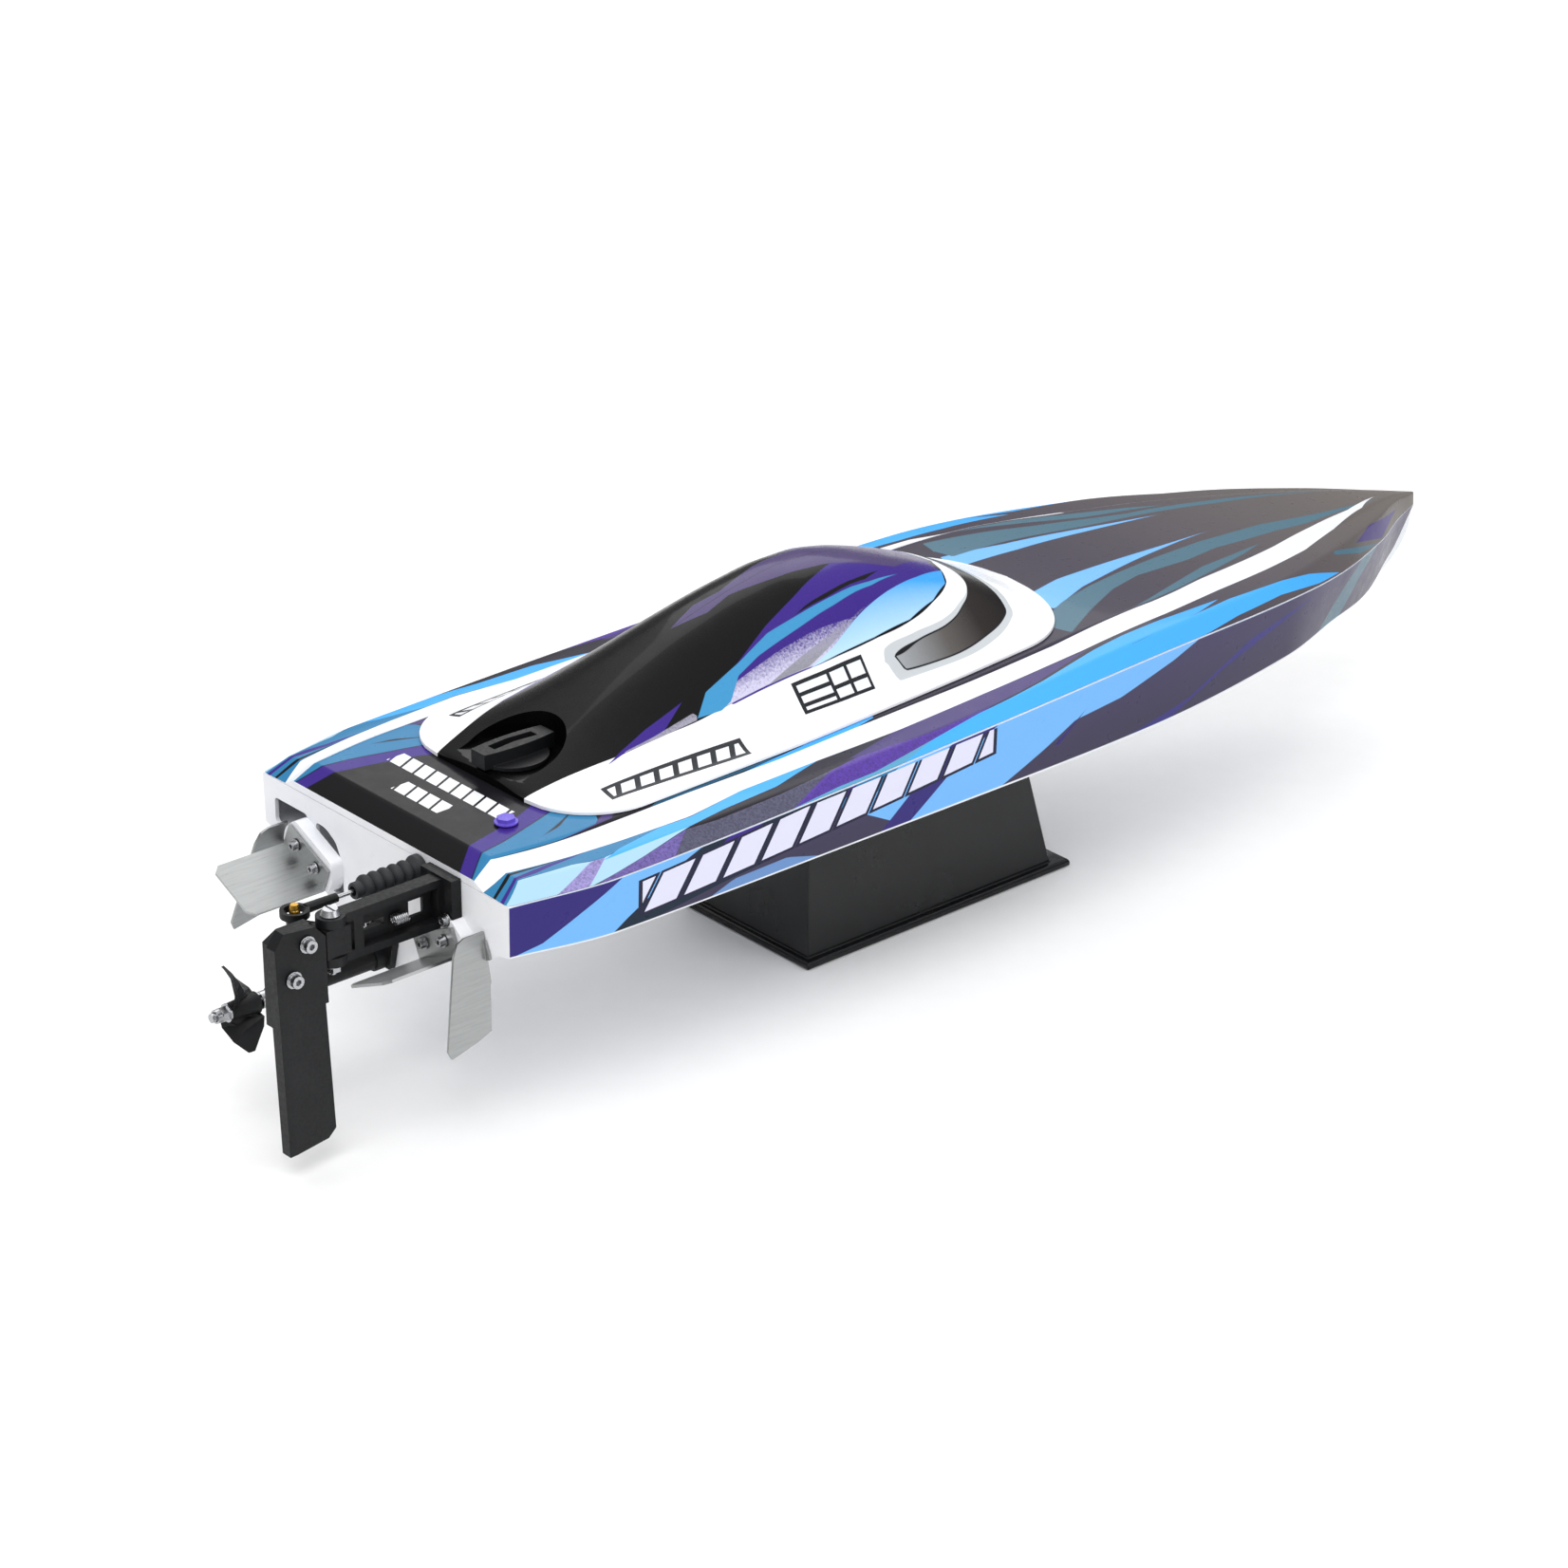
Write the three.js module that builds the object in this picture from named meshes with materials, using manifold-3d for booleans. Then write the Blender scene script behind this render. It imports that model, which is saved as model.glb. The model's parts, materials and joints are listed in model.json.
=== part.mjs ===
// A radio-controlled deep-V racing boat on its moulded stand.
// Boat coordinates: Y = 0 at the transom and +Y to the bow, +X to starboard, Z = 0 at the stern deck.
// The finished group stands on Z = 0 with its length centred on Y = 0. All sizes are millimetres.
import * as THREE from "three";
import { mergeVertices } from "three/addons/utils/BufferGeometryUtils.js";
import Module from "manifold-3d";

const wasm = await Module();
wasm.setup();

// ---------------------------------------------------------------- driving dimensions
const HULL_LENGTH = 613.6;
const TAIL_REACH = 86; // how far the rudder blade stands behind the transom
const DECK_HEIGHT = 116; // stern deck above the surface that the stand rests on
const SKIN = 1.8; // moulded hull, deck and hatch wall
const GAP = 0.3; // between pieces that touch
const KEEL_DEPTH = 68.5;
const FOREFOOT_Y = 540; // the stem is a quarter ellipse ahead of this station
const STEM_TIP_Z = -26;
const BOW_TAPER = 120; // the deck step and the knuckle bevel fade over this length at the bow
const BEVEL = 8; // plan width between the knuckle and the sheer
const STEP = { width: 6, drop: 3 };
const STERN_CHAMFER = { length: 9.6, drop: 6.3 };
const CHINE_FLAT = 6;

// Table of offsets: station, half breadth at the sheer, deck height, sheer below the deck,
// half breadth of the raised centre deck, chine inside the sheer, chine height.
const OFFSETS = [
  { y: 0, sheer: 83, deck: 0, drop: 9.8, centre: 61.4, flare: 0.5, chine: -32.5 },
  { y: 50, sheer: 91.5, deck: 0.4, drop: 9.7, centre: 65.5, flare: 1, chine: -33.8 },
  { y: 150, sheer: 93.2, deck: 2, drop: 8.5, centre: 66, flare: 1, chine: -33.4 },
  { y: 250, sheer: 92, deck: 4.3, drop: 7.8, centre: 67, flare: 1, chine: -34.4 },
  { y: 350, sheer: 87.5, deck: 7.7, drop: 9.5, centre: 61, flare: 1, chine: -36.3 },
  { y: 450, sheer: 73.5, deck: 2.3, drop: 9.6, centre: 44.5, flare: 2, chine: -37 },
  { y: 510, sheer: 53.5, deck: -3, drop: 12, centre: 28.5, flare: 6, chine: -42 },
  { y: 560, sheer: 29.5, deck: -9.5, drop: 12, centre: 15, flare: 6, chine: -48.5 },
  { y: 596, sheer: 9, deck: -15.5, drop: 9.5, centre: 3.5, flare: 5, chine: -45.5 },
  { y: HULL_LENGTH, sheer: 1.2, deck: -19.5, drop: 6.5, centre: 0.4, flare: 0.8, chine: -28 },
];
const STATIONS = [
  0, 5, STERN_CHAMFER.length, 30, 50, 80, 120, 160, 200, 240, 280, 320, 350, 380, 410, 440, 465, 490,
  510, 530, 550, 570, 585, 597, 606, 611, HULL_LENGTH,
];

// Hatch: outline on the deck, crest height line and rotary latch.
const HATCH = { rear: 50, front: 344, halfRear: 64, halfFront: 59.5, rearFlat: 30, rearCorner: 34, nose: 47 };
const HATCH_RIM = 6; // flat rim around the dome
const LEDGE = 10; // deck ledge under the rim
const CREST = [
  [50, 4.6], [83, 16], [106, 24], [130, 32], [160, 41.5], [190, 49], [212, 52], [226, 52],
  [242, 49.5], [258, 45], [275, 39], [296, 30.5], [318, 20], [335, 12], [344, 9.8],
];
const LATCH = { y: 67, recess: 22, barLength: 36, barWidth: 9, floor: 5.2, top: 13, spindle: 3 };
const OPEN_AXIS = { y: 345, z: 7.7 };

// Steering gear, starboard of the centre line.
const RUDDER_X = 42.5;
const PIVOT_Y = -56;
const TILLER = 17;
const BALL = { x: RUDDER_X - TILLER, y: PIVOT_Y - 5, z: -13.5, radius: 2.3 };
const ARM = { top: -9.5, bottomRoot: -30.8, bottomTip: -30.2, width: 7 };
const BRACKET_SCREWS = [[-6.9, -15], [6.9, -26]]; // from the bracket centre, and height
const BLADE = { aft: -TAIL_REACH, chord: 24, top: -8, bottom: -105.5, thickness: 5.5, rake: 2.5 };
const PUSHROD_RADIUS = 1;
const BOOT = { length: 33, radius: 5.2, folds: 5 };
const SERVO = { x: RUDDER_X, y: 96 };

// Drive line.
const SHAFT_Z = -62;
const TUBE = { outer: 3, inner: 2.1, shaft: 1.5 };
const STRUT_END = -58;
const PROPELLER = { y: -70.5, hub: 4.6, hubLength: 14, root: 3, radius: 18 };
const MOTOR = { y: 172, z: -40, radius: 18, length: 58 };

// Transom fittings.
const DEADRISE = Math.atan2(KEEL_DEPTH + OFFSETS[0].chine - 1, OFFSETS[0].sheer - CHINE_FLAT);
const PLATE = 1.2; // stainless sheet
const FIN = {
  x: 66.7, z: -26.1, depth: 46, chord: 21.6, lean: 0.19, rake: 0.1, flange: 26, flangeTop: 3.6, strip: 8
};
const TAB = { x: 46, width: 29, length: 37, strip: 11, block: 6 };
const TAB_SCREW = { out: 7, up: TAB.strip / 2 + 0.8 };
// The starboard tab and its block sit lower, under the rudder bracket.
const SIDES = [
  { name: "port", sign: -1, tabZ: -26.5, blockFrom: -1 },
  { name: "starboard", sign: 1, tabZ: -32, blockFrom: 4 },
];

const STAND = { rear: 187.4, front: 343.7, half: 45.5, lip: 3.2, wall: 2, body: 42, slope: 13 };

// ---------------------------------------------------------------- geometry helpers
const V = (x, y, z) => new THREE.Vector3(x, y, z);

function asSolid(geometry) {
  const g = geometry.clone();
  g.deleteAttribute("normal");
  g.deleteAttribute("uv");
  const merged = mergeVertices(g, 1e-4);
  return new wasm.Manifold(
    new wasm.Mesh({
      numProp: 3,
      vertProperties: merged.attributes.position.array,
      triVerts: new Uint32Array(merged.index.array),
    }),
  );
}

function asGeometry(solid) {
  const mesh = solid.getMesh();
  const g = new THREE.BufferGeometry();
  g.setAttribute("position", new THREE.BufferAttribute(new Float32Array(mesh.vertProperties), 3));
  g.setIndex(new THREE.BufferAttribute(new Uint32Array(mesh.triVerts), 1));
  return g;
}

const join = (...solids) => solids.reduce((a, b) => a.add(b));
const cut = (solid, ...tools) => tools.reduce((a, b) => a.subtract(b), solid);

// A closed skin through rings of equal length, with a fan over each end.
function loft(rings) {
  const n = rings[0].length;
  const points = rings.flat();
  const middle = (ring) => ring.reduce((a, p) => a.add(p), V(0, 0, 0)).divideScalar(n);
  points.push(middle(rings[0]), middle(rings.at(-1)));
  const faces = [];
  for (let r = 0; r + 1 < rings.length; r++)
    for (let i = 0; i < n; i++) {
      const a = r * n + i;
      const b = r * n + ((i + 1) % n);
      faces.push(a, b, b + n, a, b + n, a + n);
    }
  const last = (rings.length - 1) * n;
  for (let i = 0; i < n; i++) {
    const j = (i + 1) % n;
    faces.push(j, i, points.length - 2, last + i, last + j, points.length - 1);
  }
  const signed = faces.reduce(
    (sum, f, k) => (
      k % 3 ? sum : sum + points[f].dot(points[faces[k + 1]].clone().cross(points[faces[k + 2]]))
    ),
    0,
  );
  if (signed < 0) faces.reverse();
  const g = new THREE.BufferGeometry();
  g.setAttribute("position", new THREE.Float32BufferAttribute(points.flatMap((p) => p.toArray()), 3));
  g.setIndex(faces);
  return asSolid(g);
}

function box(low, high) {
  const size = V(...high).sub(V(...low));
  const g = new THREE.BoxGeometry(size.x, size.y, size.z);
  return asSolid(g.translate(low[0] + size.x / 2, low[1] + size.y / 2, low[2] + size.z / 2));
}

// A round bar between two points, or a cone when the end radius differs.
function rod(from, to, radius, sides = 16, endRadius = radius) {
  const a = V(...from);
  const along = V(...to).sub(a);
  const g = new THREE.CylinderGeometry(endRadius, radius, along.length(), sides);
  g.translate(0, along.length() / 2, 0);
  g.applyQuaternion(new THREE.Quaternion().setFromUnitVectors(V(0, 1, 0), along.normalize()));
  return asSolid(g.translate(a.x, a.y, a.z));
}

// A flat outline given as [x, y] pairs, raised from z = low to z = high.
function slab(outline, low, high) {
  const shape = new THREE.Shape(outline.map(([x, y]) => new THREE.Vector2(x, y)));
  const g = new THREE.ExtrudeGeometry(shape, { depth: high - low, bevelEnabled: false });
  return asSolid(g.translate(0, 0, low));
}

// The same, with the outline as [y, z] pairs and the thickness along X.
function sidePlate(outline, low, high) {
  return slab(outline, low, high).transform([0, 1, 0, 0, 0, 0, 1, 0, 1, 0, 0, 0, 0, 0, 0, 1]);
}

// The same, with the outline as [x, z] pairs and the thickness along Y.
function crossPlate(outline, low, high) {
  return slab(outline, -high, -low).transform([1, 0, 0, 0, 0, 0, 1, 0, 0, -1, 0, 0, 0, 0, 0, 1]);
}

function placed(solid, matrix) {
  return solid.transform(matrix.elements.slice());
}

function tubeAlong(points, radius, sides = 8, steps = 24, bore = 0) {
  const circle = new THREE.Shape().absarc(0, 0, radius, 0, Math.PI * 2);
  if (bore) circle.holes.push(new THREE.Path().absarc(0, 0, bore, 0, Math.PI * 2, true));
  const path = new THREE.CatmullRomCurve3(points.map((p) => V(...p)));
  const g = new THREE.ExtrudeGeometry(circle, { steps, extrudePath: path, curveSegments: sides / 2 });
  return asSolid(g);
}

function capScrew(position, direction, headRadius, headHeight, shankRadius, shankLength) {
  const p = V(...position);
  const d = V(...direction).normalize();
  const at = (t) => p.clone().addScaledVector(d, t).toArray();
  const washer = rod(at(GAP), at(GAP + 0.7), headRadius * 1.35, 14);
  const head = rod(at(GAP + 0.4), at(GAP + 0.7 + headHeight), headRadius, 14);
  const socket = rod(at(GAP + headHeight * 0.5), at(headHeight + 3), headRadius * 0.5, 6);
  if (!shankLength) return cut(join(washer, head), socket);
  return cut(join(washer, head, rod(at(GAP + 0.5), at(-shankLength), shankRadius, 10)), socket);
}

// Smooth interpolation in one column of a table whose rows are in order of the key.
function fair(rows, key, column) {
  const x = rows.map((r) => r[key]);
  const v = rows.map((r) => r[column]);
  const chord = (i) => (v[i + 1] - v[i]) / (x[i + 1] - x[i]);
  const slope = v.map((_, i) => {
    if (i === 0) return chord(0);
    if (i === v.length - 1) return chord(i - 1);
    const [a, b] = [chord(i - 1), chord(i)];
    return a * b <= 0 ? 0 : (2 * a * b) / (a + b);
  });
  return (at) => {
    let i = 0;
    while (i < x.length - 2 && at > x[i + 1]) i++;
    const h = x[i + 1] - x[i];
    const t = Math.min(1, Math.max(0, (at - x[i]) / h));
    const [t2, t3] = [t * t, t * t * t];
    return (
      v[i] * (2 * t3 - 3 * t2 + 1) +
      v[i + 1] * (3 * t2 - 2 * t3) +
      slope[i] * h * (t3 - 2 * t2 + t) +
      slope[i + 1] * h * (t3 - t2)
    );
  };
}

// ---------------------------------------------------------------- hull lines
const line = Object.fromEntries(
  ["sheer", "deck", "drop", "centre", "flare", "chine"].map((c) => [c, fair(OFFSETS, "y", c)]),
);
const bowFade = (y) => Math.min(1, Math.max(0.04, (HULL_LENGTH - y) / BOW_TAPER));
const sternFade = (y) => Math.max(0, 1 - y / STERN_CHAMFER.length);
const deckZ = (y) => line.deck(y) - STERN_CHAMFER.drop * sternFade(y);
const sheerZ = (y) => line.deck(y) - line.drop(y);

function keelZ(y) {
  const u = Math.max(0, (y - FOREFOOT_Y) / (HULL_LENGTH - FOREFOOT_Y));
  return STEM_TIP_Z - 3 - (KEEL_DEPTH + STEM_TIP_Z - 3) * Math.sqrt(Math.max(0, 1 - u * u));
}

// Starboard half section, from the middle of the deck round to the keel, moved in by the inset.
function halfSection(y, inset) {
  const fade = bowFade(y);
  const sheer = Math.max(0.5, line.sheer(y) - inset);
  const top = deckZ(y) - inset;
  const step = Math.max(top - STEP.drop * fade, sheerZ(y) - inset + 0.5);
  const knuckle = Math.max(0.4, sheer - BEVEL * fade * (1 - 0.7 * sternFade(y)));
  const centre = Math.min(line.centre(y), knuckle * 0.75);
  const foot = Math.min(centre + STEP.width * fade, knuckle * 0.92);
  const chine = Math.max(0.4, sheer - line.flare(y));
  const keel = keelZ(y) + inset * 1.2;
  const chineZ = Math.max(line.chine(y) + inset * 0.6, keel + 0.6);
  const flat = Math.max(chine * 0.5, chine - CHINE_FLAT * fade);
  return [
    [0, top],
    [centre, top],
    [foot, step],
    [knuckle, step - 0.4],
    [sheer, sheerZ(y) - inset * 0.2],
    [chine, chineZ],
    [flat, Math.max(chineZ - 1.2, keel + 0.3)],
    [0, keel],
  ];
}

function section(y, inset) {
  const half = halfSection(y, inset);
  const port = half.slice(1, -1).reverse();
  return [...half.map(([x, z]) => V(x, y, z)), ...port.map(([x, z]) => V(-x, y, z))];
}

function body(inset, from, to) {
  const inside = STATIONS.filter((y) => y > from && y < to);
  return loft([from, ...inside, to].map((y) => section(y, inset)));
}

// Everything above the seam between hull and deck.
function aboveSeam(offset) {
  const ring = (y) => {
    const z = sheerZ(y) + offset;
    return [V(-130, y, z), V(130, y, z), V(130, y, 90), V(-130, y, 90)];
  };
  return loft([-20, ...STATIONS, HULL_LENGTH + 20].map((y) => ring(Math.min(y, 700))));
}

const hullOuter = body(0, 0, HULL_LENGTH);
const hullInner = body(SKIN, SKIN, HULL_LENGTH - 9);
const skin = hullOuter.subtract(hullInner);

// ---------------------------------------------------------------- hatch outline
// Half width of the hatch at a station: round rear corners, a long gentle taper and an elliptic nose.
function hatchHalf(y) {
  const noseStart = HATCH.front - HATCH.nose;
  const fromRear = Math.min(1, (y - HATCH.rear) / HATCH.rearCorner);
  const corner = HATCH.rearFlat + (HATCH.halfRear - HATCH.rearFlat) * Math.sqrt(1 - (1 - fromRear) ** 2);
  const along = Math.max(0, (y - 165) / (noseStart - 165));
  const side = HATCH.halfRear + (HATCH.halfFront - HATCH.halfRear) * Math.min(1, along);
  const u = Math.max(0, (y - noseStart) / HATCH.nose);
  return Math.min(corner, side) * Math.sqrt(Math.max(0, 1 - u ** 2.4));
}

const HATCH_STATIONS = [
  50, 51, 53, 57, 63, 72, 84, 100, 118, 140, 160, 180, 200, 220, 240, 258, 275, 290, 303, 315, 325, 333,
  339, 342.4, 343.8
];

function hatchOutline(inset) {
  const ys = HATCH_STATIONS.filter((y) => y > HATCH.rear + inset && y < HATCH.front - inset - 1);
  const side = [HATCH.rear + inset, ...ys, HATCH.front - inset - 0.6].map((y) => [
    Math.max(4, hatchHalf(Math.min(Math.max(y, HATCH.rear + 0.01), HATCH.front)) - inset),
    y,
  ]);
  return [...side, ...side.map(([x, y]) => [-x, y]).reverse()];
}

const crestZ = fair(CREST.map(([y, z]) => ({ y, z })), "y", "z");

// Dome profile: 1 on the centre line, 0 where the dome meets the rim. It is fuller towards the windscreen.
function domeShape(t, y) {
  const full = Math.min(1, Math.max(0, (y - 200) / 100));
  return (1 - Math.min(1, t) ** (2.3 + 0.3 * full)) ** (1.5 - 0.35 * full);
}

function hatchRing(y, inset, base) {
  const half = Math.max(1.2, hatchHalf(y) - inset);
  const dome = Math.max(0.8, half - HATCH_RIM);
  const rim = deckZ(y) + GAP + SKIN - inset;
  const rise = Math.max(0, crestZ(y) - inset - rim);
  const top = [0, 0.14, 0.27, 0.4, 0.52, 0.64, 0.76, 0.88, 1].map(
    (t) => [dome * t, rim + rise * domeShape(t, y)]
  );
  const starboard = [...top, [half, rim - 0.3], [half, base(y)]];
  const port = starboard.slice(1).reverse();
  return [...starboard.map(([x, z]) => V(x, y, z)), ...port.map(([x, z]) => V(-x, y, z))];
}

// ---------------------------------------------------------------- materials and assembly
const paint = {
  whitePaint: { color: 0xf2f4f8, roughness: 0.25, metalness: 0 },
  deckPaint: { color: 0x24242c, roughness: 0.3, metalness: 0 },
  blackPlastic: { color: 0x141518, roughness: 0.45, metalness: 0 },
  glossBlack: { color: 0x0c0d0f, roughness: 0.18, metalness: 0 },
  rubber: { color: 0x1a1c1f, roughness: 0.75, metalness: 0 },
  steel: { color: 0xb9babd, roughness: 0.3, metalness: 1 },
  brushed: { color: 0xa9aaa8, roughness: 0.38, metalness: 1 },
  brass: { color: 0xc79a3e, roughness: 0.3, metalness: 1 },
  purple: { color: 0x6a55b8, roughness: 0.3, metalness: 0 },
  blueAlloy: { color: 0x2f5fa8, roughness: 0.35, metalness: 1 },
  wrap: { color: 0x2b3a55, roughness: 0.55, metalness: 0 },
  red: { color: 0xb0201c, roughness: 0.5, metalness: 0 },
  foam: { color: 0x2a2b2e, roughness: 0.9, metalness: 0 },
};

const boat = new THREE.Group();
boat.position.set(0, -(HULL_LENGTH - TAIL_REACH) / 2, DECK_HEIGHT);

function add(name, solid, finish) {
  const mesh = new THREE.Mesh(asGeometry(solid), new THREE.MeshStandardMaterial(paint[finish]));
  mesh.name = name;
  boat.add(mesh);
}

// ---------------------------------------------------------------- hull and deck
function hullShell() {
  const lower = skin.subtract(aboveSeam(-GAP / 2));
  const windows = [
    crossPlate([[-75, -18.5], [-52, -18.5], [-52, -34], [-62, -30], [-75, -30]], -5, 5),
    crossPlate(
      [[-46, -19.5], [-39, -20], [-32.5, -24], [-29, -31], [-28, -48], [-33, -48], [-46, -42]], -5, 5
    ),
  ];
  const tubeExit = rod([0, -5, SHAFT_Z], [0, 6, SHAFT_Z], TUBE.outer + GAP, 16);
  const rodExit = rod([BALL.x, -5, BALL.z], [BALL.x, 6, BALL.z], 3.7, 16);
  const bracketRoom = box(
    [RUDDER_X - 10 - GAP, -8, ARM.bottomRoot - 0.2 - GAP],
    [RUDDER_X + 10 + GAP, -0.01, ARM.top + 1 + GAP],
  );
  const blocks = SIDES.map((side) => cut(tabBlock(side), bracketRoom));
  return cut(join(cut(lower, ...windows), ...blocks), tubeExit, rodExit);
}

function deckShell() {
  const upper = skin.intersect(aboveSeam(GAP / 2));
  const opening = slab(hatchOutline(LEDGE), -30, 60);
  const plugHole = rod([39, 33, -8], [39, 33, 8], 2.6, 12);
  return cut(upper, opening, plugHole);
}

// Duct along the port side that floods to turn the boat upright: a roof, a side wall and a bulkhead.
function floodChamber() {
  const duct = { side: -27, roof: -12.5, end: 300 };
  const profile = [
    [duct.side, -80], [duct.side, duct.roof], [-110, duct.roof], [-110, duct.roof - SKIN],
    [duct.side - SKIN, duct.roof - SKIN], [duct.side - SKIN, -80],
  ];
  const bulkhead = box([-110, duct.end - SKIN, -80], [duct.side, duct.end, duct.roof]);
  const walls = join(crossPlate(profile, 3, duct.end), bulkhead);
  const room = body(SKIN + 0.5, SKIN + GAP, HULL_LENGTH - 20);
  return walls.intersect(room);
}

add("hull_shell", hullShell(), "whitePaint");
add("deck_shell", deckShell(), "deckPaint");
add("flood_chamber_wall", floodChamber(), "whitePaint");

function deckPlug() {
  const hex = rod([39, 33, 0.8], [39, 33, 3.2], 4, 6);
  const collar = rod([39, 33, 0.75], [39, 33, 1.5], 5, 18);
  return join(hex, collar, rod([39, 33, -7], [39, 33, 1], 2.2, 12));
}
add("deck_drain_plug", deckPlug(), "purple");

// ---------------------------------------------------------------- hatch and latch
function hatchShell() {
  const under = (y) => deckZ(y) + GAP;
  const outer = loft(HATCH_STATIONS.map((y) => hatchRing(y, 0, under)));
  const hollowStations = HATCH_STATIONS.filter((y) => y > 53 && y < 339);
  const inner = loft(hollowStations.map((y) => hatchRing(y, SKIN, (s) => deckZ(s) - 6)));
  const rimFloor = hatchOutline(HATCH_RIM + 1);
  const hollow = inner.intersect(slab(rimFloor, -20, 80));
  const recess = join(
    rod([0, LATCH.y, LATCH.floor], [0, LATCH.y, 60], LATCH.recess, 36),
    box([-LATCH.recess + 1, HATCH.rear - 8, LATCH.floor], [LATCH.recess - 1, LATCH.y, 60]),
  );
  const cup = join(
    rod([0, LATCH.y, LATCH.floor - SKIN], [0, LATCH.y, 60], LATCH.recess + SKIN, 36),
    box([-LATCH.recess - 1, HATCH.rear, LATCH.floor - SKIN], [LATCH.recess + 1, LATCH.y, 60]),
  );
  const spindleHole = rod([0, LATCH.y, -10], [0, LATCH.y, 20], LATCH.spindle + GAP, 16);
  const shell = join(outer.subtract(hollow), outer.intersect(cup));
  return cut(shell, recess, spindleHole);
}

function hatchSeal() {
  const lip = LEDGE + 0.6;
  const ys = HATCH_STATIONS.filter((y) => y > HATCH.rear + lip && y < HATCH.front - lip - 1);
  const at = (inset) => slab(hatchOutline(inset), -20, 40);
  const bandStations = [HATCH.rear + lip - 2, ...ys, HATCH.front - lip + 2];
  const band = loft(
    bandStations.map((y) => {
      const [low, high] = [deckZ(y) - SKIN, deckZ(y) + 0.1];
      return [V(-90, y, low), V(90, y, low), V(90, y, high), V(-90, y, high)];
    }),
  );
  return band.intersect(at(lip)).subtract(at(lip + 2.4));
}

function latchKnob() {
  const half = LATCH.barLength / 2;
  const bend = (t) => 1.6 * (1 - t * t);
  const ts = [-1, -0.6, -0.2, 0.2, 0.6, 1];
  const right = ts.map((t) => [LATCH.barWidth / 2 + bend(t), LATCH.y + half * t]);
  const left = ts.map((t) => [-LATCH.barWidth / 2 - bend(t), LATCH.y + half * t]).reverse();
  const disc = rod([0, LATCH.y, LATCH.floor + GAP], [0, LATCH.y, LATCH.floor + 2.2], 15, 28);
  const bar = slab([...right, ...left], LATCH.floor + 1, LATCH.top);
  const grip = slab(
    [
      [2.2, LATCH.y - 11], [1, LATCH.y], [2.2, LATCH.y + 11], [-2.2, LATCH.y + 11], [-3.2, LATCH.y],
      [-2.2, LATCH.y - 11]
    ],
    LATCH.top - 3, LATCH.top + 1
  );
  const spindle = rod([0, LATCH.y, -2.4], [0, LATCH.y, LATCH.floor + 1], LATCH.spindle, 14);
  return join(disc, bar, spindle).subtract(grip);
}

// The cam lies across the boat when the latch is free and points aft, under the deck, when it is locked.
function latchCam() {
  return join(
    rod([0, LATCH.y, -5.2], [0, LATCH.y, -2.7], 3.6, 18),
    box([-14, LATCH.y - 3, -5.2], [0, LATCH.y + 3, -2.7]),
  );
}

add("hatch_shell", hatchShell(), "whitePaint");
add("hatch_seal", hatchSeal(), "foam");
add("latch_knob", latchKnob(), "blackPlastic");
add("latch_cam", latchCam(), "blackPlastic");

// ---------------------------------------------------------------- rudder bracket and steering
function rudderBracket() {
  const base = box([RUDDER_X - 10, -5, ARM.bottomRoot - 0.2], [RUDDER_X + 10, -GAP, ARM.top + 1]);
  const profile = [[-4, ARM.top], [PIVOT_Y - 4, ARM.top], [PIVOT_Y - 4, ARM.bottomTip], [-4, ARM.bottomRoot]];
  const arm = sidePlate(profile, RUDDER_X - ARM.width / 2, RUDDER_X + ARM.width / 2);
  const pocketProfile = [
    [-7, ARM.top - 3.4], [-43, ARM.top - 3.4], [-43, ARM.bottomTip + 3.2], [-7, ARM.bottomRoot + 3.4]
  ];
  const pocket = sidePlate(pocketProfile, RUDDER_X - 1.2, RUDDER_X + 20);
  const backPocket = sidePlate(pocketProfile, RUDDER_X - 20, RUDDER_X - 2.8);
  const slot = box([RUDDER_X - 9, -40, -22.5], [RUDDER_X + 9, -30, -19.5]);
  const window = box([RUDDER_X - 9, -18, -24], [RUDDER_X + 9, -11, -17]);
  const yoke = box(
    [RUDDER_X - 12, PIVOT_Y - 12, ARM.bottomTip + 4], [RUDDER_X + 12, PIVOT_Y + 8.5, ARM.top - 4]
  );
  const rounding = join(
    rod([RUDDER_X, PIVOT_Y, ARM.bottomTip], [RUDDER_X, PIVOT_Y, ARM.bottomTip + 4], 6, 20),
    rod([RUDDER_X, PIVOT_Y, ARM.top - 4], [RUDDER_X, PIVOT_Y, ARM.top], 6, 20),
  );
  const bore = rod([RUDDER_X, PIVOT_Y, -60], [RUDDER_X, PIVOT_Y, 0], 1.9, 14);
  const screws = BRACKET_SCREWS.map(([x, z]) => rod([RUDDER_X + x, -8, z], [RUDDER_X + x, 2, z], 1.6, 10));
  return cut(join(base, arm.subtract(yoke), rounding), pocket, backPocket, slot, window, bore, ...screws);
}
add("rudder_bracket", rudderBracket(), "blackPlastic");
BRACKET_SCREWS.forEach(([x, z], i) =>
  add(
    `bracket_screw_${i ? "lower" : "upper"}`,
    capScrew([RUDDER_X + x, -5, z], [0, -1, 0], 2.2, 2.4, 1.3, 4.2), "steel"
  ),
);

function breakawaySpring() {
  return rod([RUDDER_X + 1.6, -28, -21], [RUDDER_X + 1.6, -20.5, -21], 2.6, 12);
}
add("breakaway_spring", breakawaySpring(), "steel");

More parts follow.
